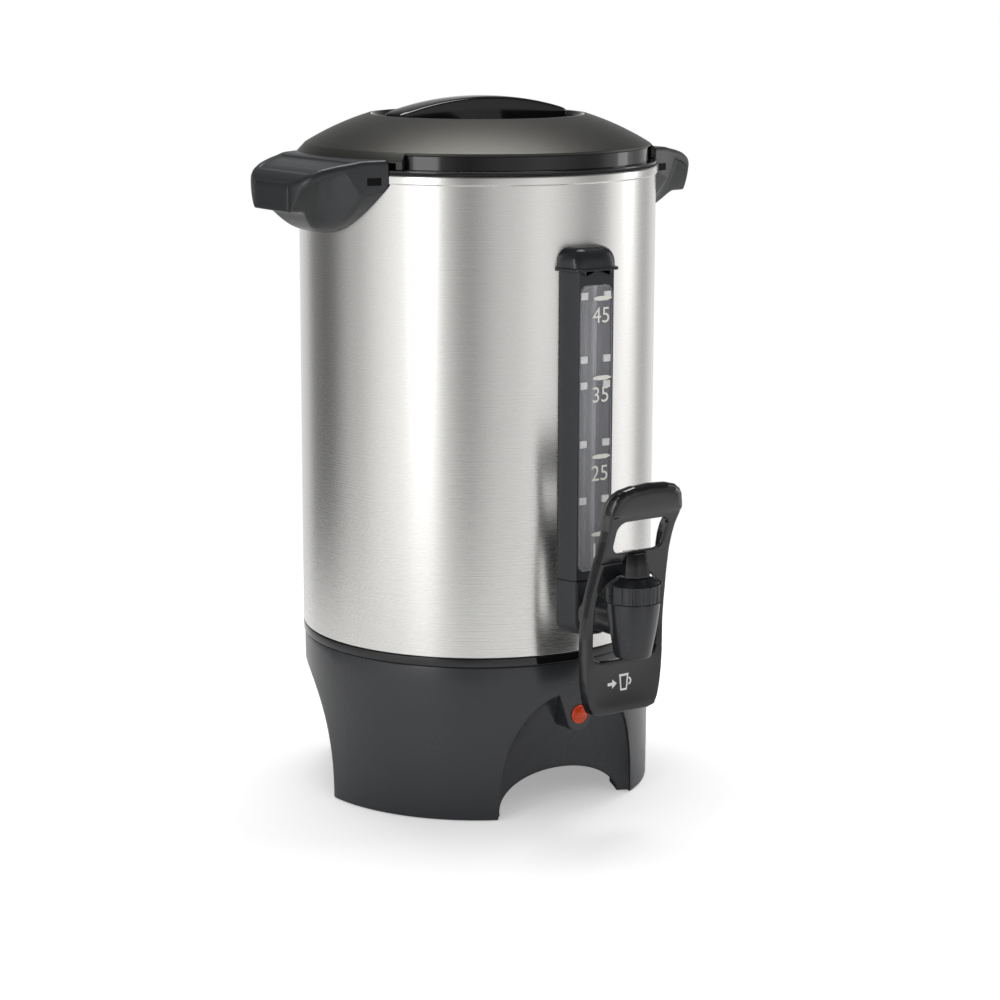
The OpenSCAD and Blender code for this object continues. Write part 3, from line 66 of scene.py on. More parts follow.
def surround_light(world, bands, heights, ambient):
    """White to the camera and through glass. To gloss it is the level of the band at the angle from the tap,
    arctan of X over minus Y, times the share that the heights give for Z. Else it has the ambient level."""
    world.use_nodes = True
    tree = world.node_tree
    tree.nodes.clear()
    add, join = node_tools(tree)
    out, back, path, place, parts = add("OutputWorld", "Background", "LightPath", "TexCoord", "SeparateXYZ")
    flip, angle, both, share, lift = add("Math", "Math", "Math", "MapRange", "MapRange")
    ramp, rise, times, gloss, seen = add("ValToRGB", "ValToRGB", "Mix", "Mix", "Mix")
    flip.operation, flip.inputs[1].default_value = "MULTIPLY", -1
    angle.operation = "ARCTAN2"
    join(place.outputs["Generated"], parts.inputs[0])
    join(parts.outputs[1], flip.inputs[0])
    join(parts.outputs[0], angle.inputs[0])
    join(flip.outputs[0], angle.inputs[1])
    join(angle.outputs[0], share.inputs["Value"])
    share.inputs["From Min"].default_value, share.inputs["From Max"].default_value = -math.pi, math.pi
    join(share.outputs[0], ramp.inputs[0])
    join(parts.outputs[2], lift.inputs["Value"])
    lift.inputs["From Min"].default_value, lift.inputs["From Max"].default_value = -1, 1
    join(lift.outputs[0], rise.inputs[0])
    for node, table, low, span in ((ramp, bands, -180, 360), (rise, heights, -1, 2)):
        stops = node.color_ramp.elements
        while len(stops) < len(table):
            stops.new(0.5)
        for stop, (place_at, level) in zip(stops, table):
            stop.position, stop.color = (place_at - low) / span, (level, level, level, 1)
    gloss.data_type = seen.data_type = times.data_type = "RGBA"
    times.blend_type = "MULTIPLY"
    times.inputs[0].default_value = 1
    join(ramp.outputs[0], times.inputs[6])
    join(rise.outputs[0], times.inputs[7])
    gloss.inputs[6].default_value = (ambient, ambient, ambient, 1)
    seen.inputs[7].default_value = (1, 1, 1, 1)
    both.operation = "MAXIMUM"
    join(path.outputs["Is Glossy Ray"], gloss.inputs[0])
    join(times.outputs[2], gloss.inputs[7])
    join(path.outputs["Is Camera Ray"], both.inputs[0])
    join(path.outputs["Is Transmission Ray"], both.inputs[1])
    join(both.outputs[0], seen.inputs[0])
    join(gloss.outputs[2], seen.inputs[6])
    join(seen.outputs[2], back.inputs[0])
    join(back.outputs[0], out.inputs[0])


def soft_box(name, turn, tilt, distance, width, height, level):
    """Area lamp of an even level, placed at a compass turn from the tap and a tilt above the horizon, and
    facing the middle of the tank. Its power is level times pi times its area."""
    lamp = bpy.data.lights.new(name, "AREA")
    lamp.shape, lamp.size, lamp.size_y = "RECTANGLE", width, height
    lamp.energy = level * math.pi * width * height
    holder = bpy.data.objects.new(name, lamp)
    a, e = math.radians(turn), math.radians(tilt)
    away = np.array([math.sin(a) * math.cos(e), -math.cos(a) * math.cos(e), math.sin(e)])
    holder.location = away * distance + np.array([0, 0, 0.22])
    holder.rotation_euler = (math.radians(90 - tilt), 0, a)
    scene.collection.objects.link(holder)


scene.world = bpy.data.worlds.new("surround")
angle_levels = [
    (-180, 0.62), (-167, 0.22), (-150, 0.13), (-141, 0.18), (-133, 0.34), (-125, 0.50), (-116, 0.54),
    (-108, 0.74), (-99, 0.92), (-91, 1.05), (-82, 1.15), (-64, 1.2), (-57, 0.74), (-48, 0.42), (-40, 0.30),
    (-32, 0.44), (-22, 0.62), (-6, 0.74), (3, 0.90), (12, 0.92), (40, 0.42), (53, 0.45), (62, 0.90),
    (74, 1.2), (86, 1.0), (95, 0.5), (104, 0.46), (118, 0.74), (145, 0.95), (175, 0.66)]
height_shares = [(-1, 1), (0.0, 1), (0.22, 0.5), (0.5, 0.16), (0.97, 0.12)]
surround_light(scene.world, angle_levels, height_shares, ambient=0.60)
soft_box("left_box", -68, 12, 1.7, 0.5, 1.1, 2.4)
soft_box("right_box", 76, 14, 1.7, 0.35, 1.0, 1.3)
soft_box("overhead_box", 145, 79, 1.5, 1.1, 0.55, 7.5)


def floor_finish(paint, grey, glow, near, far):
    """Matt grey that glows a little to the camera only, so that it shows as white paper. Between a near and
    a far distance in metres from the middle it fades out into the surround."""
    paint.use_nodes = True
    tree = paint.node_tree
    tree.nodes.clear()
    add, join = node_tools(tree)
    out, whole, path, matt, lift = add("OutputMaterial", "AddShader", "LightPath", "BsdfDiffuse", "Emission")
    share, place, distance, fade = add("Math", "TexCoord", "VectorMath", "MapRange")
    none, mix = add("BsdfTransparent", "MixShader")
    matt.inputs["Color"].default_value = (grey, grey, grey, 1)
    share.operation, share.inputs[1].default_value = "MULTIPLY", glow
    distance.operation, fade.interpolation_type = "LENGTH", "SMOOTHSTEP"
    fade.inputs["From Min"].default_value, fade.inputs["From Max"].default_value = near, far
    join(path.outputs["Is Camera Ray"], share.inputs[0])
    join(share.outputs[0], lift.inputs["Strength"])
    join(matt.outputs[0], whole.inputs[0])
    join(lift.outputs[0], whole.inputs[1])
    join(place.outputs["Object"], distance.inputs[0])
    join(distance.outputs["Value"], fade.inputs["Value"])
    join(fade.outputs[0], mix.inputs[0])
    join(whole.outputs[0], mix.inputs[1])
    join(none.outputs[0], mix.inputs[2])
    join(mix.outputs[0], out.inputs["Surface"])


floor_mesh = bpy.data.meshes.new("studio_floor")
floor_mesh.from_pydata([(-1, -1, 0), (1, -1, 0), (1, 1, 0), (-1, 1, 0)], [], [(0, 1, 2, 3)])
studio_floor = bpy.data.objects.new("studio_floor", floor_mesh)
scene.collection.objects.link(studio_floor)
floor_paint = bpy.data.materials.new("floor_paint")
floor_finish(floor_paint, grey=0.86, glow=0.34, near=0.28, far=0.72)
floor_mesh.materials.append(floor_paint)


# The tank is one deep-drawn stainless steel vessel with a rolled rim. Its outside is brushed round and
# round with a fine belt, so the lines lie level and light stretches up and down across them.
def eased(path, radii, steps=5, closed=True):
    """Path with its corners rounded. From each corner the arc starts and ends at its radius over the tangent
    of half the corner's angle, at most half of the way to the next corner, and bends as a quadratic curve."""
    path = np.asarray(path, float)
    before, after = np.roll(path, 1, -2), np.roll(path, -1, -2)
    if not closed:
        before[..., 0, :], after[..., -1, :] = path[..., 0, :], path[..., -1, :]
    back, ahead = before - path, after - path
    back_l, ahead_l = np.linalg.norm(back, axis=-1), np.linalg.norm(ahead, axis=-1)
    back = back / np.maximum(back_l, 1e-9)[..., None]
    ahead = ahead / np.maximum(ahead_l, 1e-9)[..., None]
    half = np.arccos(np.clip((back * ahead).sum(-1), -1, 1)) / 2
    reach = np.asarray(radii, float) / np.maximum(np.tan(half), 1e-3)
    reach = np.minimum(reach, 0.49 * np.minimum(back_l, ahead_l))[..., None, None]
    s = np.linspace(0, 1, steps)[:, None]
    corner = path[..., None, :]
    start, end = corner + back[..., None, :] * reach, corner + ahead[..., None, :] * reach
    bent = (1 - s) ** 2 * start + 2 * s * (1 - s) * corner + s ** 2 * end
    return bent.reshape(*path.shape[:-2], -1, path.shape[-1])


def spun(profile, places=240, around=None, centre=(0, 0)):
    """Profile of radius and height turned about the upright axis through the centre: X is radius times the
    sine of the turn and Y is minus radius times its cosine."""
    turn = np.linspace(0, 2 * np.pi, places, endpoint=False) if around is None else around
    r, z = profile[:, 0][None], profile[:, 1][None]
    x, y = np.sin(turn)[:, None] * r, -np.cos(turn)[:, None] * r
    return np.stack([x + centre[0], y + centre[1], np.broadcast_to(z, x.shape)], -1)


def make_piece(name, body, shells, paint, sharp=35, stands_for=()):
    """Piece from shells, each a grid of points in millimetres and whether its rows and its columns close on
    themselves. Points that coincide are merged, which also closes poles, and faces are turned outwards."""
    points, faces, base = [], [], 0
    for grid, rows_close, columns_close in shells:
        n, m = grid.shape[:2]
        index = base + np.arange(n * m).reshape(n, m)
        if rows_close:
            index = np.concatenate([index, index[:1]], 0)
        if columns_close:
            index = np.concatenate([index, index[:, :1]], 1)
        corners = index[:-1, :-1], index[1:, :-1], index[1:, 1:], index[:-1, 1:]
        faces.append(np.stack(corners, -1).reshape(-1, 4))
        points.append(grid.reshape(-1, 3) / 1000)
        base += n * m
    mesh = bpy.data.meshes.new(name)
    mesh.from_pydata(np.concatenate(points).tolist(), [], np.concatenate(faces).tolist())
    shape = bmesh.new()
    shape.from_mesh(mesh)
    bmesh.ops.remove_doubles(shape, verts=shape.verts, dist=2e-6)
    bmesh.ops.recalc_face_normals(shape, faces=shape.faces)
    shape.to_mesh(mesh)
    shape.free()
    mesh.polygons.foreach_set("use_smooth", np.ones(len(mesh.polygons), bool))
    mesh.set_sharp_from_angle(angle=math.radians(sharp))
    mesh.materials.append(paint)
    piece = bpy.data.objects.new(name, mesh)
    scene.collection.objects.link(piece)
    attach(piece, body)
    if stands_for:
        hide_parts(*stands_for)


def finish_of(name, colour, rough, metal=0.0, pattern=(40, 40, 40), mottle=0.06, rough_spread=0.06,
              grain=(2500, 0.02), detail=6, **fixed):
    """Surface finish on Object coordinates. A noise stretched by the pattern moves the colour and the
    roughness a little either way, and a fine noise of the grain's scale and height moulds the surface."""
    paint = bpy.data.materials.new(name)
    paint.use_nodes = True
    tree = paint.node_tree
    add, join = node_tools(tree)
    shader = tree.nodes["Principled BSDF"]
    shader.inputs["Metallic"].default_value = metal
    for socket, value in fixed.items():
        shader.inputs[socket.replace("_", " ").title().replace("Ior", "IOR")].default_value = value
    place, stretch, noise, tone, span, fine, bump = add("TexCoord", "Mapping", "TexNoise", "Mix", "MapRange",
                                                        "TexNoise", "Bump")
    stretch.inputs["Scale"].default_value = pattern
    noise.inputs["Scale"].default_value, noise.inputs["Detail"].default_value = 1, detail
    join(place.outputs["Object"], stretch.inputs[0])
    join(stretch.outputs[0], noise.inputs["Vector"])
    tone.data_type = "RGBA"
    tone.inputs[6].default_value = [c * (1 - mottle) for c in colour] + [1]
    tone.inputs[7].default_value = [min(1, c * (1 + mottle)) for c in colour] + [1]
    join(noise.outputs["Fac"], tone.inputs[0])
    join(tone.outputs[2], shader.inputs["Base Color"])
    span.inputs["From Min"].default_value, span.inputs["From Max"].default_value = 0.3, 0.7
    span.inputs["To Min"].default_value = max(0.02, rough - rough_spread)
    span.inputs["To Max"].default_value = rough + rough_spread
    join(noise.outputs["Fac"], span.inputs["Value"])
    join(span.outputs[0], shader.inputs["Roughness"])
    join(place.outputs["Object"], fine.inputs["Vector"])
    fine.inputs["Scale"].default_value, fine.inputs["Detail"].default_value = grain[0], 3
    bump.inputs["Strength"].default_value, bump.inputs["Distance"].default_value = 1, grain[1] / 1000
    join(fine.outputs["Fac"], bump.inputs["Height"])
    join(bump.outputs[0], shader.inputs["Normal"])
    return paint


def brush_round(paint, strength):
    """Turns the stretched highlights so that they cross brush lines that run round the upright axis."""
    tree = paint.node_tree
    shader, way = tree.nodes["Principled BSDF"], tree.nodes.new("ShaderNodeTangent")
    way.direction_type, way.axis = "RADIAL", "Z"
    shader.inputs["Anisotropic"].default_value = strength
    shader.inputs["Anisotropic Rotation"].default_value = 0.25
    tree.links.new(way.outputs[0], shader.inputs["Tangent"])


steel_paint = finish_of("brushed_steel", (0.80, 0.79, 0.77), 0.27, 1.0, pattern=(9, 9, 2400), mottle=0.03,
                        rough_spread=0.02, grain=(600, 0.001))
brush_round(steel_paint, 0.75)
tank_r, tank_wall, tank_low, rim_z, rim_r = 108.5, 0.9, 101.0, 383.8, 109.6
floor_z, well_r, well_z = 106.0, 23.0, 98.5
tank_profile = eased([
    (0, well_z - tank_wall), (well_r + tank_wall, well_z - tank_wall),
    (well_r + tank_wall, floor_z - tank_wall), (tank_r - tank_wall, floor_z - tank_wall),
    (tank_r - tank_wall, tank_low), (tank_r, tank_low),
    (tank_r, rim_z - 5.8), (rim_r, rim_z - 5.1), (rim_r, rim_z - 1.0), (rim_r - 0.9, rim_z),
    (tank_r - 0.5, rim_z), (tank_r - tank_wall, rim_z - 1), (tank_r - tank_wall, floor_z), (well_r, floor_z),
    (well_r, well_z), (0, well_z)],
    [0, 1.5, 1, 0.5, 0.3, 0.3, 0.35, 0.6, 0.9, 0.8, 0.5, 0.8, 5, 1.5, 1.5, 0], 5, closed=False)
make_piece("tank_wall", "urn", [(spun(tank_profile, 320), True, False)], steel_paint,
           stands_for=["tank"])

# The base is one charcoal moulding on three legs, with an arch and a dished hollow between each pair.
# Over the front arch a tongue hangs down that holds the lamp. A flat pad at the back takes the inlet.
charcoal = finish_of("base_charcoal", (0.024, 0.0255, 0.029), 0.26, pattern=(30, 30, 30), mottle=0.08,
                     rough_spread=0.03, grain=(3200, 0.0025), specular_ior_level=0.6)
foot_r, top_r, wall_t, deck_z, deck_in, deck_t, leg_z = 107.2, 107.8, 3.0, 94.9, 87.8, 3.0, 0.4
arch_half, side_half, arch_high, arch_power = 49.9, 56.3, 75.8, 2.4
inner_in, inner_high, inner_power, inner_y, inner_foot, inner_bow = 5.2, 20.6, 2.06, 81.9, 5.9, 4.0
tongue_r, tongue_z, tongue_turn, tongue_clear = 8.3, 58.8, 17.6, 14.4
tongue_root, tongue_low = np.array([13.65, 74.4]), np.array([7.91, 56.3])
sole_out, sole_deep, sole_in, sole_gap, sole_high = 1.6, 16, 18.5, 0.6, 4


def hollow_at(t, s, half):
    """Point of the hollow under an arch. The outer arch and the inner one are superellipses: across is the
    cosine and up is the sine of t, both to the power 2/2.4 outside and 2/2.06 inside. S runs from the outer
    one, in the middle of the wall, to the inner one, further in as it rises, and the face bows inwards."""
    def arch(power):
        return np.sign(np.cos(t)) * np.abs(np.cos(t)) ** (2 / power), np.abs(np.sin(t)) ** (2 / power)
    across, up = arch(arch_power)
    x_out, z_out = across * half, up * arch_high + leg_z
    y_out = -np.sqrt((foot_r - wall_t / 2) ** 2 - x_out ** 2)
    across, up = arch(inner_power)
    x_in, z_in = across * (half - inner_in), up * inner_high + leg_z
    y_in = -((math.sqrt(foot_r ** 2 - half ** 2) - inner_foot) * (1 - up) + inner_y * up)
    bow = inner_bow * (up + 0.1) * 4 * s * (1 - s)
    return np.stack([x_out + (x_in - x_out) * s, y_out + (y_in - y_out) * s + bow,
                     z_out + (z_in - z_out) * s], -1)


def hollow_under(x, z):
    """T and s of the point of the hollow that lies straight behind x, z. S is halved in until the curve of
    that share passes through the point, and for each s the t at which it has that x."""
    low, high = np.zeros_like(x), np.ones_like(x)
    for _ in range(24):
        s, a, b = (low + high) / 2, np.zeros_like(x), np.full_like(x, np.pi / 2)
        for _ in range(24):
            t = (a + b) / 2
            point = hollow_at(t, s, arch_half)
            wide = point[:, 0] > np.abs(x)
            a, b = np.where(wide, t, a), np.where(wide, b, t)
        above = z > point[:, 2]
        low, high = np.where(above, low, s), np.where(above, s, high)
    return np.where(x < 0, np.pi - t, t), s


def base_sector(turn, half, before, after, tongue):
    """One arch of the base, as columns from the middle of one leg to the middle of the next. Each column is
    a closed outline: deck, wall, edge of the arch, hollow, inner edge, and the same way back inside."""
    near_foot = np.array([0.15, 0.5, 1, 1.8, 3, 4.6, 6.5])
    t = np.radians(np.concatenate([near_foot, np.linspace(9, 171, 82), 180 - near_foot[::-1]]))
    edge = hollow_at(t, np.zeros_like(t), half)
    x, z = edge[:, 0], edge[:, 2]
    if tongue:
        side = tongue_root + np.linspace(0, 1, 7)[:, None] * (tongue_low - tongue_root)
        bend = np.radians(np.linspace(-tongue_turn, tongue_turn - 180, 25))
        tip = np.stack([tongue_r * np.cos(bend), tongue_z + tongue_r * np.sin(bend)], -1)
        line = np.concatenate([side[:-1], tip, (side * [-1, 1])[::-1][1:]])
        right, left = x > tongue_clear, x < -tongue_clear
        x = np.concatenate([x[right], line[:, 0], x[left]])
        z = np.concatenate([z[right], line[:, 1], z[left]])
        inner_t, start = hollow_under(line[:, 0], line[:, 1])
        inner_t = np.concatenate([t[right], inner_t, t[left]])
        start = np.concatenate([np.zeros(right.sum()), start, np.zeros(left.sum())])
    else:
        inner_t, start = t, np.zeros_like(t)
    count, wall_steps = 14, 8
    az = np.arcsin(x / foot_r)
    legs = [np.linspace(math.radians(before), az[0] + 0.004, 12),
            np.linspace(az[-1] - 0.004, -math.radians(after), 12)]

    def columns(az, z_edge, hollow, lip, back_face):
        r_edge = foot_r + (top_r - foot_r) * (z_edge - leg_z) / (deck_z - leg_z)
        s, c = np.sin(az), -np.cos(az)

        def ring(r, z_here):
            return np.stack([s * r, c * r, np.broadcast_to(z_here, s.shape)], -1)
        wall = [ring(top_r + (r_edge - top_r) * k, deck_z + (z_edge - deck_z) * k)
                for k in np.linspace(0, 1, wall_steps + 1)]
        inner_wall = [ring(r_edge - wall_t, np.maximum(z_edge, 8) + 4), ring(top_r - wall_t, deck_z - deck_t)]
        path = [ring(deck_in, deck_z - deck_t), ring(deck_in, deck_z), *wall[:-1], ring(r_edge, z_edge),
                *hollow, *lip, *back_face, *inner_wall]
        return np.stack(path, 1)

    def sole(leg, r, z_here):
        """Ring of the leg's underside, kept outside of the arches by a small gap."""
        least = np.arcsin((half + sole_gap) / r) if r < foot_r - 2 else 0
        a = np.sign(leg) * np.maximum(np.abs(leg), least)
        return np.stack([np.sin(a) * r, -np.cos(a) * r, np.full_like(a, z_here)], -1)

    grids = []
    for leg in legs:
        hollow = [sole(leg, foot_r - sole_out - sole_deep * k, leg_z) for k in np.linspace(0, 1, count)]
        lip = [sole(leg, foot_r - sole_in, leg_z + rise) for rise in (0.8, 3.2)]
        back = [sole(leg, foot_r - 17.5 + 13 * k, leg_z + sole_high) for k in np.linspace(0, 1, 6)]
        grids.append(columns(leg, np.full_like(leg, leg_z), hollow, lip, back))
    hollow = [hollow_at(inner_t, start + (1 - start) * k, half) for k in np.linspace(0, 1, count)]
    end = hollow[-1]
    push = np.array([0, 2.6, 0.6])  # from the hollow's face to the back of its wall
    lip = [end + push * 0.35 + [0, 0, -0.5], end + push * 0.9 + [0, 0, -0.2]]
    back = [hollow_at(inner_t, np.full_like(inner_t, k), half) + push for k in np.linspace(0.98, 0.04, 6)]
    arch = columns(az, z, hollow, lip, back)
    grid = np.concatenate([grids[0], arch, grids[1]])
    edge_at = 2 + wall_steps
    radii = np.zeros(grid.shape[1])
    radii[1], radii[2] = 0.3, 0.8
    radii[edge_at], radii[edge_at + 1], radii[edge_at + count] = 0.9, 0.5, 0.6
    bent = eased(grid, radii[None], 4)
    a = math.radians(turn)
    turned = np.array([[math.cos(a), math.sin(a), 0], [-math.sin(a), math.cos(a), 0], [0, 0, 1]])
    return bent @ turned


def window_loop(half, low, high, low_r, high_r, steps=8, sides=6):
    """Closed outline of an upright window, anticlockwise from the middle of its foot: straight sides with
    evenly spaced points, and round corners of one radius below and another above, as X and Z."""
    def run(a, b, n):
        return a + (b - a) * np.linspace(0, 1, n, endpoint=False)[:, None]

    def bend(c, r, start):
        w = np.radians(start + 90 * np.linspace(0, 1, steps, endpoint=False))[:, None]
        return np.array(c) + r * np.concatenate([np.cos(w), np.sin(w)], 1)
    p = np.array
    return np.concatenate([
        run(p([0, low]), p([half - low_r, low]), sides), bend((half - low_r, low + low_r), low_r, -90),
        run(p([half, low + low_r]), p([half, high - high_r]), 3 * sides),
        bend((half - high_r, high - high_r), high_r, 0),
        run(p([half - high_r, high]), p([high_r - half, high]), 2 * sides),
        bend((high_r - half, high - high_r), high_r, 90),
        run(p([-half, high - high_r]), p([-half, low + low_r]), 3 * sides),
        bend((low_r - half, low + low_r), low_r, 180),
        run(p([low_r - half, low]), p([0, low]), sides)])


def facing(loop, y):
    """Outline in X and Z set at depth y, which may differ from point to point."""
    return np.stack([loop[:, 0], np.broadcast_to(y, loop.shape[:1]), loop[:, 1]], -1)


def solid(rows, side=1):
    """Shell from closed outlines, with a middle point added before the first and after the last. Its X is
    turned round where side is -1."""
    first, last = rows[0].mean(0), rows[-1].mean(0)
    grid = np.stack([np.broadcast_to(first, rows[0].shape), *rows, np.broadcast_to(last, rows[0].shape)])
    return grid * [side, 1, 1], False, True


base_grid = np.concatenate([base_sector(0, arch_half, 60, 60, True),
                            base_sector(-121, side_half, 61, 59, False),
                            base_sector(-239, side_half, 59, 61, False)])
pad_rows = [facing(window_loop(*outline), y) for y, outline in (
    (100, (20, 29.5, 62.5, 3, 3)), (107.2, (20, 29.5, 62.5, 3, 3)), (107.9, (19.3, 30.2, 61.8, 2.4, 2.4)),
    (107.9, (14.1, 35.4, 56.6, 1.2, 1.2)), (107.5, (13.8, 35.7, 56.3, 1, 1)),
    (100, (13.8, 35.7, 56.3, 1, 1)))]
make_piece("base_moulding", "urn", [(base_grid, True, True), (np.stack(pad_rows), True, True)], charcoal,
           40, stands_for=["base_housing"])

# The collar is a polished black moulding that hides the joint between the base and the tank. A lip on it
# stands up inside the tank's wall and centres the two.
gloss_black = finish_of("gloss_black", (0.0065, 0.0068, 0.0075), 0.09, pattern=(22, 22, 22), mottle=0.2,
                        rough_spread=0.03, grain=(260, 0.003), specular_ior_level=0.6)
collar_path = eased([(91, 95.1), (108.1, 95.1), (108.6, 95.5), (108.6, 100.2), (108.1, 100.7), (107.3, 100.7),
                     (107.3, 104.1), (104.3, 104.1), (104.3, 100.7), (91, 100.7)], 0.45, 4)
make_piece("collar_ring", "urn", [(spun(collar_path, 320), True, True)], gloss_black,
           stands_for=["base_collar"])

# The hidden parts: the base's cover sheet, feet, studs, nuts and screws, the heater and its wiring, the
# percolator, and the small parts and seals of the valve and the gauge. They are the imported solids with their
# own finishes.
def repaint(paint, *names):
    """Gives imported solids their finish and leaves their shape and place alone."""
    for name in names:
        nodes[name].data.materials.clear()
        nodes[name].data.materials.append(paint)


for label, colour, rough, metal, pattern, mottle, grain, solids in (
        ("cover_sheet", (0.055, 0.056, 0.06), 0.55, 0, (60, 60, 60), 0.06, (1800, 0.02), ["bottom_cover"]),
        ("black_rubber", (0.018, 0.018, 0.019), 0.75, 0, (200, 200, 200), 0.25, (1500, 0.03),
         ["rubber_feet", "inner_gasket", "outer_gasket", "lid_seal"]),
        ("zinc_steel", (0.52, 0.52, 0.54), 0.36, 1, (300, 300, 300), 0.12, (2200, 0.01),
         ["cover_screws", "base_studs", "base_nuts", "handle_screws", "gauge_screw", "lid_screws",
          "valve_spring", "lever_pin", "pump_washer"]),
        ("spun_aluminium", (0.74, 0.745, 0.76), 0.38, 1, (12, 12, 900), 0.07, (900, 0.006),
         ["heat_spreader", "pump_tube", "pump_foot", "brew_basket", "basket_cover"]),
        ("heater_sheath", (0.32, 0.28, 0.24), 0.5, 1, (90, 90, 90), 0.3, (1500, 0.02),
         ["brew_element", "warming_element"]),
        ("cream_ceramic", (0.66, 0.62, 0.53), 0.5, 0, (120, 120, 120), 0.08, (1200, 0.03),
         ["thermostat", "thermal_fuse", "terminal_block"]),
        ("plated_pin", (0.72, 0.6, 0.36), 0.3, 1, (400, 400, 400), 0.06, (2500, 0.005), ["inlet_pins"])):
    repaint(finish_of(label, colour, rough, metal, pattern, mottle, grain=grain), *solids)
repaint(finish_of("milky_silicone", (0.72, 0.72, 0.7), 0.5, pattern=(150, 150, 150), mottle=0.05,
                  grain=(1500, 0.01), transmission_weight=0.25), "seat_cup", "upper_tube_seal",
        "lower_tube_seal")
repaint(gloss_black, "power_inlet")

# The lamp is a clear orange lens with a moulded bezel and facets pressed into its dome. A small neon
# tube sits behind it, pushed in from inside the tongue.
# The lens's faint orange emission is a painted glow: it shines a little of itself in place of light passing
# through it.
lens_paint = finish_of("orange_lens", (0.80, 0.055, 0.01), 0.07, pattern=(420, 420, 420), mottle=0.45,
                       rough_spread=0.03, grain=(620, 0.35), detail=0, transmission_weight=0.35, ior=1.5,
                       emission_strength=0.08)
lens_paint.node_tree.nodes["Principled BSDF"].inputs["Emission Color"].default_value = (1, 0.13, 0.02, 1)
repaint(finish_of("neon_glass", (0.9, 0.5, 0.3), 0.12, pattern=(90, 90, 90), grain=(900, 0.003),
                  transmission_weight=0.4), "neon_lamp")
lamp_y, lamp_z = 107.66, 61.3
facets = 12
facet_turn = np.linspace(0, 2 * np.pi, facets, endpoint=False)
lens_grid = []
for r, out, shift in [(0, -12, 0), (4, -12, 0), (4, 0, 0), (5.75, 0.02, 0), (5.75, 0.7, 0), (5.35, 0.95, 0),
                      (4.85, 0.95, 0), (4.7, 0.6, 0), (4.45, 1.3, 0.5), (3.2, 2.45, 0), (1.5, 3.05, 0.5),
                      (0, 3.25, 0)]:
    w = facet_turn + shift * facet_turn[1]
    lens_grid.append(np.stack([r * np.sin(w), np.full(facets, -lamp_y - out), lamp_z + r * np.cos(w)], -1))
make_piece("lamp_dome", "urn", [(np.stack(lens_grid), False, True)], lens_paint, 12,
           stands_for=["lamp_lens"])

# The handles are satin charcoal mouldings, screwed to the tank from inside. A deep bracket hugs the wall
# and tapers to a blunt grip with a shallow panel let into its top. A hook on each holds the turned lid down.
handle_paint = finish_of("handle_charcoal", (0.021, 0.0225, 0.025), 0.36, pattern=(26, 26, 26), mottle=0.10,
                         rough_spread=0.04, grain=(3000, 0.005), specular_ior_level=0.6)
top_line = np.array([(96, 392), (109.7, 391.7), (115.1, 390.5), (124.2, 388.9), (132.6, 386.8),
                     (139.5, 383.4), (143.8, 379.8), (146, 376.9)])
low_line = np.array([(96, 347), (109.7, 347), (115.1, 348), (120.6, 348.95), (126, 351.5), (131.5, 356.9),
                     (134.7, 361.6), (138, 362), (144.2, 362), (146, 362.4)])
handle_in, handle_tip, root_half, tip_half, tip_r, side_slope = 101.8, 146.0, 51, 19.7, 16, 0.4813
handle_long, cap_long, bowl_z = handle_tip - handle_in, 1.2, 347
wall_r, groove_r, groove_z, rim_out, below_groove = 108.8, 110.1, 377.4, 1.35, 370


def soft_line(x, line):
    """Height read off a line of points, averaged over two millimetres either way so its corners are soft."""
    return sum(np.interp(x + d, line[:, 0], line[:, 1]) for d in (-2, -1, 0, 1, 2)) / 5


def step(x, a, b):
    """Zero below a, one above b, and three s squared minus two s cubed between."""
    s = np.clip((x - a) / (b - a), 0, 1)
    return s * s * (3 - 2 * s)


def from_wall(x, y, z):
    """Handle points moved out to the tank's wall: by its X less 101.8, times the square of the share of the
    handle's length that is left. Above the rim's groove the wall is 1.3 further out."""
    wall = np.sqrt(np.where(z > groove_z, groove_r, wall_r) ** 2 - y ** 2)
    return x + (1 - (x - handle_in) / handle_long) ** 2 * (wall - handle_in)


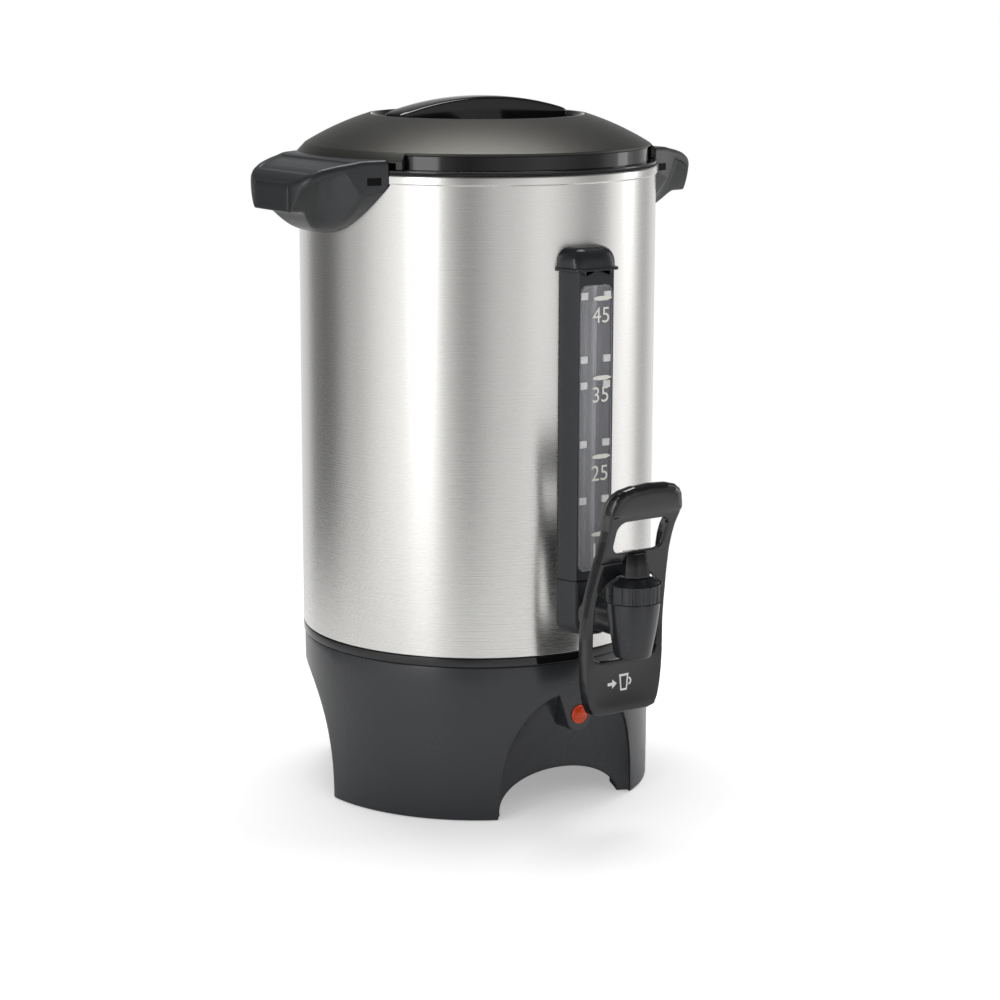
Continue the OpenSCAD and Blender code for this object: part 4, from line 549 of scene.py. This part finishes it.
def handle_shell(side):
    """Sections from the tank to the tip. The plan runs straight in to a corner of radius 16. The top is sunk
    inside a border, and the underside is the higher of its line and a bowl that rises with Y squared."""
    straight, bend = np.linspace(handle_in, 136.94, 40), np.radians(np.linspace(25.7, 90, 20))[1:]
    xs = np.concatenate([straight, handle_tip - tip_r + tip_r * np.sin(bend)])
    half = np.concatenate([root_half - side_slope * (straight - handle_in), tip_half + tip_r * np.cos(bend)])
    quarter = np.linspace(0, np.pi / 2, 7)
    s, c, run = np.sin(quarter), np.cos(quarter), np.linspace(-1, 1, 81)
    flat, one, none = np.zeros(81), np.ones(7), np.zeros(7)
    across = np.concatenate([run, one, one, run[::-1], -one, -one])
    out = np.concatenate([flat, s, c, flat, -s, -c])
    rise = np.concatenate([flat + 1, c, s, flat + 1, c, s])
    upper = np.concatenate([flat + 1, one, none, flat, none, one])
    edge = np.where(upper > 0, 3.0, 1.8)
    last = np.concatenate([np.zeros(len(xs)), np.linspace(0.3, 1, 5)])
    xs, half = np.append(xs, np.full(5, handle_tip)), np.append(half, np.full(5, tip_half))
    shrink = cap_long * (1 - np.sqrt(np.maximum(1 - last ** 2, 0)))[:, None]
    y = across * (half[:, None] - edge - shrink) + out * edge
    along = (xs[:, None] - handle_in) * (handle_long - cap_long) / handle_long + cap_long * last[:, None]
    x = from_wall(handle_in + along, y, below_groove)
    top = soft_line(x, top_line) - shrink
    line, bowl = soft_line(x, low_line), bowl_z + (0.0119 + 0.024 * step(x, 110, 132)) * y ** 2
    low = (line + bowl + np.sqrt((line - bowl) ** 2 + 1.4)) / 2 - 0.3
    low = np.minimum(low, top - 5.5) + shrink
    z = np.where(upper > 0, top - edge + edge * rise, low + edge - edge * rise)
    x = np.where(z > groove_z, x + (1 - (xs[:, None] - handle_in) / handle_long) ** 2 * rim_out, x)
    panel = step(x, 114.5, 116) * (1 - step(x, 135.5, 138.5))
    panel = panel * (1 - step(np.abs(y), half[:, None] - 6.6, half[:, None] - 4.8))
    z = z - 0.9 * panel * (upper * (out == 0))
    rows = np.stack([x, y, z], -1)
    first, caps = rows[0], []
    for k in (0.02, 0.3, 0.6, 0.85):
        y, z = first[:, 1] * k, first[:, 2].mean() + (first[:, 2] - first[:, 2].mean()) * k
        caps.append(np.stack([np.sqrt(np.where(z > groove_z, groove_r, wall_r) ** 2 - y ** 2), y, z], -1))
    tip = rows[-1]
    ends = [tip.mean(0) + (tip - tip.mean(0)) * k for k in (0.7, 0.35)]
    return solid([*caps, *rows, *ends], side)


def slot_shade_block(side, way):
    """Shallow black block let into the handle's flank beside the rim: painted shade, standing where a slot in
    the flank is dark inside. The flank looks out along 0.43 in X and 0.9 in Y."""
    t, height = np.meshgrid(np.linspace(104.6, 110.2, 6), [377.6, 381.9])
    loops = []
    for depth in (-1.5, 0.12):
        y = way * (root_half - side_slope * (t - handle_in) + depth * 0.9)
        x = from_wall(t + depth * 0.43, y, below_groove) + 1.2
        grid = np.stack([x, y, height], -1)
        loops.append(np.concatenate([grid[0], grid[1][::-1]]))
    return solid(loops, side)


def sector_sweep(path, turn, low, high, ease):
    """Shell of a closed outline of radius and height, its corners eased, carried round from one angle to
    another about a turn from +X."""
    w = np.radians(turn + np.linspace(low, high, 25))
    path = eased(path, ease, 4)
    grid = np.stack([np.cos(w)[:, None] * path[:, 0], np.sin(w)[:, None] * path[:, 0],
                     np.broadcast_to(path[:, 1], (25, len(path)))], -1)
    return solid(list(grid))


# These blocks are near black and dull: painted shade for the inside of a slot in each handle's flank.
slot_painted_shade = finish_of("slot_painted_shade", (0.002, 0.002, 0.002), 0.7, pattern=(90, 90, 90), mottle=0.3,
                        grain=(1500, 0.02), specular_ior_level=0.2)
for label, side, turn in (("right", 1, 0), ("left", -1, 180)):
    hook = sector_sweep([(107.2, 386.6), (112, 386.6), (112, 389.5), (107.2, 389.5)], turn, -12, 12, 0.6)
    make_piece(f"{label}_handle", "urn", [handle_shell(side), hook], handle_paint, 40,
               stands_for=[f"handle_{label}"])
    make_piece(f"{label}_painted_slot_shade", "urn", [slot_shade_block(side, way) for way in (-1, 1)], slot_painted_shade,
               30)

# The gauge is a charcoal channel on the front of the tank: a lower fitting that the tap's shank passes
# through, a long column with a clear window, and a rounded cap. The glass tube stands inside a tray whose
# pale lilac-grey, streaked upright, is painted light for what shows through the window.
gauge_paint = finish_of("gauge_charcoal", (0.024, 0.0255, 0.029), 0.34, pattern=(26, 26, 26), mottle=0.08,
                        rough_spread=0.04, grain=(3000, 0.004))
gauge_back, gauge_front, back_half, front_half = 108.8, 120.6, 17.0, 12.7
foot_low, foot_high, column_low, column_high, cap_low, cap_high = 113, 146.6, 146.9, 330.2, 329, 342.4
opening_low, opening_high, opening_half, opening_r = 152.1, 321, 11.9, 5.3


def on_tank(loop):
    """Outline laid on the tank's wall: depth is minus the root of the radius squared less X squared."""
    return facing(loop, -np.sqrt(gauge_back ** 2 - loop[:, 0] ** 2))


def fitting_rows(low, high, low_r, high_r, out=0.0, ease=0.5, hood=0.0, corner=0.6):
    """Outlines of a gauge fitting from the tank forwards. The sides lean in along a straight line, the front
    corners turn on an arc, and with a hood the top follows a quarter circle down to the front."""
    rows = [on_tank(window_loop(back_half + out, low, high, low_r, high_r))]
    front = gauge_front + out
    bend = max(hood, corner)
    depth = np.concatenate([np.linspace(gauge_back, front - bend, 4)[1:],
                            front - bend * (1 - np.sin(np.linspace(0.1, np.pi / 2, 10)))])
    for d in depth:
        wide = back_half + out + (front_half - back_half) * (d - gauge_back) / (gauge_front - gauge_back)
        turn = max(0.0, 1 - (front - d) / corner)
        half = wide - corner * (1 - math.sqrt(max(0.0, 1 - turn ** 2)))
        drop = hood - math.sqrt(max(0.0, hood ** 2 - max(0.0, hood - (front - d)) ** 2)) if hood else 0.0
        trim = ease * (1 - math.sqrt(max(0.0, 1 - turn ** 2)))
        rows.append(facing(window_loop(half, low + trim, high - drop - trim, max(low_r - trim, 0.2),
                                       max(min(high_r, half - 0.5) - trim, 0.2)), -d))
    return rows


column = fitting_rows(column_low, column_high, 0.3, 0.3)
opening = [facing(window_loop(opening_half + g, opening_low - g, opening_high + g, opening_r, opening_r), -y)
           for g, y in ((0.1, gauge_front), (0, 120.4), (0, 110.2))]
tray_rows = [facing(window_loop(half, 163.9 - half, 309.5 + half, 5.2, 5.2), -y)
             for half, y in ((11.8, 110.3), (11.8, 118.9), (11.4, 118.9), (11.2, 111.2))]
# Painted light: the tray's pale lilac-grey, streaked upright by the stretched noise, stands for the light let
# in through the window and the tube's bright stripes.
tray_painted_light = finish_of("channel_back_painted_light", (0.15, 0.145, 0.18), 0.3, pattern=(60, 60, 8), mottle=0.2,
                       rough_spread=0.05, grain=(900, 0.003))
make_piece("channel_back_painted_light", "urn", [solid(tray_rows)], tray_painted_light, 30)
make_piece("gauge_column", "urn", [solid([*column, *opening])], gauge_paint, 30,
           stands_for=["gauge_housing"])
make_piece("gauge_foot", "urn", [solid(fitting_rows(foot_low, foot_high, 9, 0.3, corner=2.2))], gauge_paint,
           30, stands_for=["gauge_base"])
cap_paint = finish_of("gauge_cap_black", (0.018, 0.019, 0.022), 0.25, pattern=(30, 30, 30), mottle=0.15,
                      rough_spread=0.05, grain=(1200, 0.006))
hood = solid(fitting_rows(cap_low, cap_high, 0.3, 8, out=1.4, hood=8.0, corner=5.0))
lip = solid(fitting_rows(cap_low - 0.1, cap_low + 2, 0.8, 0.8, out=2.7, ease=0.7, corner=2.4))
make_piece("gauge_hood", "urn", [hood, lip], cap_paint, 30, stands_for=["gauge_cap"])

# The window is a clear moulded strip, snapped in with ten little clips. Its pale bars and cup numbers
# are printed on its face, and the tube behind it is plain laboratory glass.
def clear_with_painted_rims(paint, least, most, blend):
    """Makes a clear finish: its cover goes from the least where it faces the eye to the most at its rim, so
    the rims show the finish's near white colour as a painted highlight and light still falls in behind it."""
    add, join = node_tools(paint.node_tree)
    facing_eye, span = add("LayerWeight", "MapRange")
    facing_eye.inputs["Blend"].default_value = blend
    span.inputs["To Min"].default_value, span.inputs["To Max"].default_value = least, most
    join(facing_eye.outputs["Facing"], span.inputs["Value"])
    join(span.outputs[0], paint.node_tree.nodes["Principled BSDF"].inputs["Alpha"])


# The window and the tube are near white and turn opaque at their rims: painted highlight along their edges.
clear = finish_of("clear_window", (0.86, 0.87, 0.90), 0.05, pattern=(30, 30, 8), mottle=0.04,
                  rough_spread=0.02, grain=(300, 0.004))
clear_with_painted_rims(clear, 0.03, 0.95, 0.3)
tube_glass = finish_of("tube_glass", (0.86, 0.87, 0.92), 0.05, pattern=(20, 20, 6), mottle=0.04,
                       rough_spread=0.015, grain=(200, 0.002))
clear_with_painted_rims(tube_glass, 0.08, 1.0, 0.45)
ink = finish_of("pale_ink", (0.92, 0.91, 0.84), 0.5, pattern=(900, 900, 900), mottle=0.08, grain=(2500, 0.01))
pane_low, pane_high, pane_half, pane_r = 152.3, 320.8, 11.6, 5.1
pane = [facing(window_loop(pane_half - g, pane_low + g, pane_high - g, pane_r, pane_r), -y)
        for g, y in ((1.3, 119.2), (0.4, 119.2), (0, 119.6), (0, 120.5), (0.2, 120.85), (0.5, 120.95),
                     (0.8, 120.85), (1.1, 120.5), (1.5, 120.4))]
clips = []
clips_low, clips_long, clip_x, clip_half, clip_high = 152.4, 168.3, 8.3, 2.4, 4.2
for share in (0.25, 0.45, 0.655, 0.745, 0.965):
    for side in (-1, 1):
        z = clips_low + share * clips_long
        loop = window_loop(clip_half, z - clip_high / 2, z + clip_high / 2, 0.4, 0.4, 2, 1)
        clips.append(solid([facing(loop + [side * clip_x, 0], y) for y in (-119.4, -120.5)]))
make_piece("window_pane", "urn", [solid(pane)], clear, 30, stands_for=["gauge_window"])
# The clips are clear mouldings of the window; their opaque near-white colour is painted highlight for the
# light they catch.
clip_highlight_paint = finish_of("clip_painted_highlight", (0.90, 0.90, 0.88), 0.25, pattern=(500, 500, 500), mottle=0.30,
                    rough_spread=0.1, grain=(700, 0.05))
make_piece("window_clips", "urn", clips, clip_highlight_paint, 30)
repaint(tube_glass, "gauge_tube")


def printed(name, body, flat_points, faces, to_place, paint):
    """Thin print: flat points in millimetres laid in place by a function of X and Z, faces as given."""
    mesh = bpy.data.meshes.new(name)
    mesh.from_pydata((to_place(flat_points) / 1000).tolist(), [], faces)
    mesh.materials.append(paint)
    piece = bpy.data.objects.new(name, mesh)
    scene.collection.objects.link(piece)
    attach(piece, body)


def lettered(words, size):
    """Flat outline of plain figures, centred on X and standing on zero, as points in X, Z and faces."""
    curve = bpy.data.curves.new("figures", "FONT")
    curve.body, curve.size, curve.align_x = words, size, "CENTER"
    holder = bpy.data.objects.new("figures", curve)
    scene.collection.objects.link(holder)
    bpy.context.view_layer.update()
    mesh = bpy.data.meshes.new_from_object(holder)
    points = np.empty(len(mesh.vertices) * 3)
    mesh.vertices.foreach_get("co", points)
    faces = [tuple(face.vertices) for face in mesh.polygons]
    bpy.data.objects.remove(holder)
    bpy.data.meshes.remove(mesh)
    return points.reshape(-1, 3)[:, :2], faces


marks_xz, marks_faces = [], []
for z, words in ((313, "45"), (266.5, "35"), (220, "25"), (173.7, "15")):
    bar = np.array([(-1.2, z - 0.9), (2, z - 1.35), (8, z - 1.35), (11.2, z - 0.3), (11.2, z + 0.3),
                    (8, z + 1.35), (2, z + 1.35), (-1.2, z + 0.9), (-2.2, z)])
    figures, figure_faces = lettered(words, 13.0)
    for points, faces in ((bar, [tuple(range(9))]), (figures + [3.6, z - 14.2], figure_faces)):
        base = sum(len(m) for m in marks_xz)
        marks_xz.append(points)
        marks_faces += [tuple(base + i for i in face) for face in faces]
printed("gauge_marks", "urn", np.concatenate(marks_xz), marks_faces,
        lambda p: np.stack([p[:, 0], np.full(len(p), -120.64), p[:, 1]], -1), ink)

# The tap is a half-gloss black nozzle on a threaded shank, closed by a nut with a scalloped grip.
# The valve stem comes up through the nut.
tap_paint = finish_of("tap_black", (0.017, 0.018, 0.021), 0.24, pattern=(40, 40, 40), mottle=0.12,
                      rough_spread=0.04, grain=(1600, 0.0015), specular_ior_level=0.6)
tap_y, shank_z, side_high, side_low = 158.5, 127.0, 141.3, 111.8
taper = np.linspace(0, 1, 14)
side_line = np.stack([15.6 - 4.3 * taper ** 1.35, side_high - taper * (side_high - side_low)], -1)[::-1]
nozzle_line = np.concatenate([
    eased([(5.5, 119.5), (5.5, 108.2), (10.6, 108.2), tuple(side_line[0])], [0, 0.6, 3.2, 0], 6,
          closed=False),
    side_line[1:],
    eased([(15.6, 141.0), (15.3, 141.3), (13, 141.3), (13, 148.3), (11, 148.3), (11, 119.5)],
          [0, 0.2, 0.3, 0.4, 0.4, 0], 4, closed=False)])


def along_y(profile, z, places=64):
    """Profile of depth and radius turned about a level axis along Y at height z."""
    w = np.linspace(0, 2 * np.pi, places, endpoint=False)[:, None]
    d, r = profile[:, 0][None], profile[:, 1][None]
    return np.stack([r * np.sin(w), -d + 0 * w, z + r * np.cos(w)], -1)


shank_line = eased([(96, 5.5), (96, 9.5), (121.8, 9.5), (121.8, 12.5), (125.4, 12.5), (125.4, 9.5),
                    (147.6, 9.5), (147.6, 5.5)], [0.2, 0.8, 0.2, 0.5, 0.7, 1.2, 0.1, 0.1], 4)
make_piece("nozzle", "urn", [(spun(nozzle_line, 128, centre=(0, -tap_y)), True, True),
                             (along_y(shank_line, shank_z), True, True)], tap_paint, 35,
           stands_for=["faucet_body"])
scallops = 18
nut_turn = np.linspace(0, 2 * np.pi, scallops * 14, endpoint=False)
nut_line = eased([(13.1, 141.6), (16.8, 141.6), (17.0, 142.2), (17.0, 151.6), (16.4, 152.4), (15.3, 152.5),
                  (9.6, 155.7), (3.3, 155.8), (3.3, 148.6), (13.1, 148.6)],
                 [0.2, 0.4, 0.4, 0.6, 0.5, 0.5, 0.6, 0.4, 0.4, 0.3], 5)
nut_grid = spun(nut_line, around=nut_turn)
groove = 1 - np.maximum(0, np.cos(scallops * nut_turn)) ** 10
r_here = np.linalg.norm(nut_grid[..., :2], axis=-1)
grip_z = step(nut_grid[..., 2], 141.7, 142.2) * (1 - step(nut_grid[..., 2], 151.2, 152.3))
cut = 0.85 * groove[:, None] * grip_z * step(r_here, 14.5, 16.5)
nut_grid[..., :2] *= ((r_here - cut) / r_here)[..., None]
nut_grid[..., 1] -= tap_y
make_piece("tap_nut", "urn", [(nut_grid, True, True)], tap_paint, 35, stands_for=["bonnet"])
repaint(tap_paint, "shank_nut")
repaint(finish_of("stem_grey", (0.55, 0.55, 0.53), 0.45, pattern=(80, 80, 80), grain=(1500, 0.01)),
        "valve_stem")

# The lever is a black moulded frame that leans out to a rounded grip. A plate below is pushed with a cup,
# and an eight-sided boss over the nut takes the stem and its pin.
lever_paint = finish_of("lever_black", (0.009, 0.0095, 0.011), 0.15, pattern=(34, 34, 34), mottle=0.12,
                        rough_spread=0.04, grain=(1500, 0.001), specular_ior_level=0.7)
lever_side = np.array([
    (17.6, 73), (22.5, 74.4), (24.64, 78.8), (25.5, 82), (26.4, 87), (27.3, 95), (27.9, 106.6), (28, 120),
    (27.6, 133.2), (26.9, 145), (25.6, 157), (24.2, 170), (23.9, 179.4), (24.1, 186), (24.9, 190.6),
    (26.0, 196.1), (26.2, 199), (25.9, 201.9), (24.8, 205.3), (22.8, 208), (19, 210.5), (12, 212.3),
    (0, 213)])
opening_side = np.array([(18.4, 105.5), (22, 107), (23.4, 110.5), (23.4, 142.5), (22.3, 147), (19.9, 150.8),
                         (16.2, 154.2), (11.5, 156.8), (6, 158.2), (0, 158.4)])
lever_y, rail_wide, rail_deep, plate_t = 151.7, 4.6, 9.0, 3.0
lean_from, lean_to, lean_far, lean_power = 120, 213, 25.99, 1.6


def lean(z):
    """How far the lever's front stands forward of its foot: 25.99 times the share of the height from 120 to
    213, to the power 1.6."""
    return lean_far * np.clip((z - lean_from) / (lean_to - lean_from), 0, None) ** lean_power


def plate_dish(p):
    """How deep the push plate is dished at a point: 1.2 in its middle, and less as the square of X and
    towards its two ends."""
    return 1.2 * step(p[:, 1], 74, 84) * (1 - step(p[:, 1], 96, 106)) * (1 - (p[:, 0] / 28) ** 2)


def loop_of(side, low):
    """Whole outline from its right half, from the middle of the foot up and round."""
    half = np.concatenate([[(0.0, low)], side])
    return np.concatenate([half, half[::-1][1:-1] * [-1, 1]])


def by_angle(loop, centre, angles):
    """Where rays from the centre meet a closed outline: its edges are cut into short steps, and the
    distance is read off against the angle."""
    closed = np.concatenate([loop, loop[:1]])
    k = np.linspace(0, len(loop), 12000)
    dense = np.stack([np.interp(k, np.arange(len(closed)), closed[:, i]) for i in (0, 1)], -1) - centre
    turn = np.unwrap(np.arctan2(dense[:, 1], dense[:, 0]))
    r = np.linalg.norm(dense, axis=1)
    order = np.argsort(turn % (2 * np.pi))
    reach = np.interp(angles % (2 * np.pi), (turn % (2 * np.pi))[order], r[order], period=2 * np.pi)
    return np.stack([reach * np.cos(angles), reach * np.sin(angles)], -1) + centre


def lever_ring(outer, inner, centre, joint_z, upper):
    """Part of the lever between an outer outline and an opening, both read along the same rays. Across it
    runs the front face, an eased edge, the rail's side and back, and a step down to the thin plate."""
    keys = np.concatenate([outer, inner]) - centre
    angles = np.sort(np.concatenate([np.linspace(0, 2 * np.pi, 200, endpoint=False),
                                     np.arctan2(keys[:, 1], keys[:, 0]) % (2 * np.pi)]))
    out, hole = by_angle(outer, centre, angles), by_angle(inner, centre, angles)
    joint = np.abs(out[:, 1] - joint_z) < 0.02
    width = np.interp(out[:, 1], lever_side[:, 1], lever_side[:, 0])
    rail = ~joint | (np.abs(out[:, 0]) > width - rail_wide)
    to_hole = hole - out
    gap = np.linalg.norm(to_hole, axis=1)
    to_hole /= gap[:, None]
    roll = step(out[:, 1], 192, 203) if upper else np.zeros(len(out))
    ease = np.where(joint, 0.0, 1.3 + 5.2 * roll)
    depth = np.where(rail, rail_deep, plate_t) + 4.6 * roll
    rim = np.where(joint, 0.0, np.minimum(rail_wide, gap))
    narrow = gap <= rail_wide + 0.1
    plate_back = np.where(narrow, depth, np.minimum(depth, plate_t + 8 * roll))

    def at(p, d):
        grip = 1.0 * step(p[:, 1], 193.5, 196) * (1 - step(p[:, 1], 199, 209)) if upper else 0.0
        front = -(lever_y + lean(p[:, 1])) - grip + (0 if upper else plate_dish(p))
        return np.stack([p[:, 0], front + d, p[:, 1]], -1)
    rows = []
    inner_ease = np.minimum(0.8, gap * 0.2)
    for k in np.linspace(0, np.pi / 2, 4):
        p = hole - to_hole * (inner_ease * (1 - np.cos(k)))[:, None]
        rows.append(at(p, inner_ease * (1 - np.sin(k))))
    for share in (0.1, 0.25, 0.45, 0.65, 0.85):
        start, stop = hole - to_hole * inner_ease[:, None], out + to_hole * ease[:, None]
        rows.append(at(start + (stop - start) * share, 0))
    for k in np.linspace(0, np.pi / 2, 8):
        rows.append(at(out + to_hole * (ease * (1 - np.sin(k)))[:, None], ease * (1 - np.cos(k))))
    back_ease = np.minimum(ease, depth / 2)
    for k in np.linspace(0, np.pi / 2, 6):
        p = out + to_hole * (back_ease * (1 - np.cos(k)))[:, None]
        rows.append(at(p, depth - back_ease * (1 - np.sin(k))))
    inner_rim = out + to_hole * np.maximum(rim, back_ease)[:, None]
    inner_rim = np.where(narrow[:, None], hole, inner_rim)
    rows += [at(inner_rim, depth), at(inner_rim, plate_back), at(hole, plate_back)]
    return np.stack(rows)


joint_z = 166.5
joint_w = np.interp(joint_z, lever_side[:, 1], lever_side[:, 0])
low_outer = loop_of(np.concatenate([lever_side[lever_side[:, 1] < joint_z],
                                    [(joint_w, joint_z - 0.05), (joint_w - 1.2, joint_z)]]), 73)
high_outer = loop_of(np.concatenate([[(joint_w - 1.2, joint_z), (joint_w, joint_z + 0.05)],
                                     lever_side[lever_side[:, 1] > joint_z]]), joint_z)
low_hole, high_hole = loop_of(opening_side, 105.5), window_loop(18.5, 171.5, 191, 6, 6)
boss_turn = np.linspace(0, 2 * np.pi, 8, endpoint=False) + np.pi / 8
boss_rows = []
for r, z in ((0, 170.3), (5.4, 170.3), (6.7, 170.2), (7.1, 169.7), (9.1, 156.8), (8.9, 156.2), (5.4, 156.2)):
    loop = np.stack([np.cos(boss_turn), np.sin(boss_turn)], -1) * max(r, 1e-4) / math.cos(math.pi / 8)
    loop = eased(loop, 0.35 if r > 1 else 0, 4)
    boss_rows.append(np.stack([loop[:, 0], loop[:, 1] - tap_y, np.full(len(loop), z)], -1))
slot_loop = eased(np.array([(3.45, -5.6), (3.45, 5.6), (-3.45, 5.6), (-3.45, -5.6)]), 0.3, 4)
slot_loop = np.stack([np.interp(np.linspace(0, 1, len(loop), endpoint=False),
                                np.linspace(0, 1, len(slot_loop) + 1),
                                np.append(slot_loop[:, i], slot_loop[0, i])) for i in (0, 1)], -1)
for z in (156.1, 167.7):
    boss_rows.append(np.stack([slot_loop[:, 0], slot_loop[:, 1] - tap_y, np.full(len(slot_loop), z)], -1))
boss_rows.append(np.broadcast_to(boss_rows[-1].mean(0), boss_rows[-1].shape))
make_piece("push_lever", "tap_lever", [
    (lever_ring(low_outer, low_hole, np.array([0, 131.0]), joint_z, False), True, True),
    (lever_ring(high_outer, high_hole, np.array([0, 182.0]), joint_z, True), True, True),
    (np.stack(boss_rows), False, True)], lever_paint, 40, stands_for=["tap_lever"])

# On the push plate stands a small cup with an arrow towards it, in place of words. It is pale pad print,
# laid over the dished face.
plate_ink = finish_of("plate_print", (0.82, 0.82, 0.80), 0.45, pattern=(900, 900, 900), mottle=0.06,
                      grain=(2500, 0.01))
cup_shape = [(-3.6, 96), (3.6, 96), (3.3, 94.6), (-3.3, 94.6), (2.4, 86), (-2.4, 86), (1.6, 87.2),
             (-1.6, 87.2), (2.2, 94.6), (-2.2, 94.6)]
cup_faces = [(3, 2, 1, 0), (5, 7, 9, 3), (6, 4, 2, 8), (5, 4, 6, 7)]
ear = np.radians(np.linspace(-75, 75, 9))
ear_out = np.stack([3.0 + 2.6 * np.cos(ear), 91.2 + 2.6 * np.sin(ear)], -1)
ear_in = np.stack([3.0 + 1.5 * np.cos(ear), 91.2 + 1.5 * np.sin(ear)], -1)
arrow = [(-12, 90.1), (-8.6, 90.1), (-8.6, 88.2), (-5.2, 91), (-8.6, 93.8), (-8.6, 91.9), (-12, 91.9)]
print_points = np.concatenate([cup_shape, ear_out, ear_in, arrow])
ear_faces = [(10 + i, 11 + i, 20 + i, 19 + i) for i in range(8)]
print_faces = cup_faces + ear_faces + [(28, 29, 33, 34), (30, 31, 32)]


def on_plate(p):
    """Print laid just in front of the dished push plate."""
    return np.stack([p[:, 0], -lever_y + plate_dish(p) - 0.06, p[:, 1]], -1)


printed("cup_sign", "tap_lever", print_points, print_faces, on_plate, plate_ink)

# The lid's dome is one satin charcoal moulding with a broad round opening in its top for the recess. An ear
# at either side slopes down over the handle's hook and ends in two cheeks.
dome_paint = finish_of("dome_charcoal", (0.019, 0.0195, 0.0195), 0.40, pattern=(1500, 1500, 1500),
                       mottle=0.35, rough_spread=0.06, grain=(2600, 0.012), detail=2,
                       specular_ior_level=0.6, specular_tint=(1, 0.96, 0.84, 1))
dome_centre, dome_arc = np.array([15.38, 250.36]), 171.0
dome_turn = np.radians(np.linspace(58.39, 72.78, 34))
dome_ray = np.stack([np.cos(dome_turn), np.sin(dome_turn)], -1)
outer_arc, inner_arc = dome_centre + dome_arc * dome_ray, dome_centre + (dome_arc - 2.2) * dome_ray[::-1]
dome_line = np.concatenate([[(103.66, 394.6), (105, 394.6)], outer_arc, inner_arc])
dome_ease = np.zeros(len(dome_line))
top_edge = 1 + len(outer_arc)
dome_ease[:3], dome_ease[top_edge:top_edge + 2] = 0.35, 0.8
dome_shells = [(spun(eased(dome_line, dome_ease, 4), 320), True, True)]
ear_path = [(103.9, 395.9), (105, 396), (109.3, 391.4), (109.3, 390.1), (103.9, 394.7)]
ear_ease = [0.1, 0.6, 0.7, 0.3, 0.1]
cheek_path = [(106, 386.5), (109.2, 386.5), (109.2, 391.2), (106, 393.6)]
ear_turn, cheek_wide = 32, 2
for turn in (0, 180):
    dome_shells.append(sector_sweep(ear_path, turn, -ear_turn, ear_turn, ear_ease))
    for low in (-ear_turn, ear_turn - cheek_wide):
        dome_shells.append(sector_sweep(cheek_path, turn, low, low + cheek_wide, 0.4))
make_piece("lid_dome", "lid", dome_shells, dome_paint, 40, stands_for=["lid_cover"])

# Under the dome a gloss black ring carries the lid on the tank's rim. Its flange is notched at the left and
# the right, so that it drops past the handles' hooks and turns in under them.
notch, notch_r = 13.5, 106.8
notch_ends = [middle + off for middle in (90, 270) for off in (-notch - 0.04, -notch, notch, notch + 0.04)]
ring_turn = np.radians(np.sort(np.concatenate([np.linspace(0, 359, 240), notch_ends])))
ring_line = eased([(101.8, 378.8), (104, 378.8), (104, 384.8), (109.4, 384.8), (109.4, 386.2), (103.6, 386.2),
                   (103.6, 394.3), (101.4, 394.3), (101.4, 386.2), (94, 386.2), (94, 384.8), (101.8, 384.8)],
                  [0.5, 0.6, 0.2, 0.3, 0.5, 0.25, 0.3, 0.3, 0.2, 0.4, 0.4, 0.2], 4)
ring_grid = spun(ring_line, around=ring_turn)
ring_r = np.linalg.norm(ring_grid[..., :2], axis=-1)
off_side = np.abs((np.degrees(ring_turn) % 180) - 90)
ring_cut = np.where((off_side < notch + 0.01)[:, None], np.minimum(ring_r, notch_r), ring_r)
ring_grid[..., :2] *= (ring_cut / ring_r)[..., None]
make_piece("lid_ring", "lid", [(ring_grid, True, True)], gloss_black, 35,
           stands_for=["lid_skirt"])

# A black dish fills the recess, and an arched bar stands across it to lift the lid by. Both are gloss
# mouldings, held from below by two screws through the dish's bosses and the steel liner.
dish_line = eased([(0, 401.7), (55, 401.7), (64.2, 413.5), (65.05, 413.5), (65.05, 411.4), (57.2, 399.5),
                   (0, 399.5)], [0, 4, 0.3, 0.3, 0.5, 3, 0], 6, closed=False)
dish_shells = [(spun(dish_line, 240), True, False)]
for x in (-44, 44):
    boss_line = eased([(2.2, 387.8), (4.5, 387.8), (4.5, 400), (2.2, 400)], 0.3, 3)
    dish_shells.append((spun(boss_line, 48, centre=(x, 0)), True, True))
make_piece("lid_recess", "lid", dish_shells, gloss_black, 35, stands_for=["lid_dish"])
bar_half, bar_flat, bar_wide, bar_top, bar_arc = 62, 56, 10, 424.15, 215
bar_rows = []
for x in bar_half * np.sin(np.linspace(-np.pi / 2, np.pi / 2, 61)):
    end = max(0.0, (abs(x) - bar_flat) / (bar_half - bar_flat))
    fall = 1 - math.sqrt(max(0.0, 1 - end ** 2))
    half = bar_wide - 3.2 * fall
    top = bar_top - (bar_arc - math.sqrt(bar_arc ** 2 - x ** 2)) - 0.8 * fall
    low = 401.9 + max(0.0, abs(x) - 54.6) * (413.6 - 401.9) / 7.4
    low = min(low, top - 1.0)
    crown = [(half * k, top - 0.55 * k ** 2) for k in (0.82, 0.4, 0, -0.4, -0.82)]
    loop = [(half - 0.25, low), (half, top - 1.2), *crown, (-half, top - 1.2), (0.25 - half, low)]
    loop = eased(loop, [0.3, 1.4, 1.2, 0, 0, 0, 1.2, 1.4, 0.3], 5)
    bar_rows.append(np.stack([np.full(len(loop), x), loop[:, 0], loop[:, 1]], -1))
make_piece("lid_bar", "lid", [solid(bar_rows)], gloss_black, 35, stands_for=["lid_grip"])
repaint(finish_of("liner_steel", (0.66, 0.66, 0.67), 0.3, 1.0, pattern=(8, 8, 600), mottle=0.06,
                  grain=(900, 0.004)), "lid_liner")
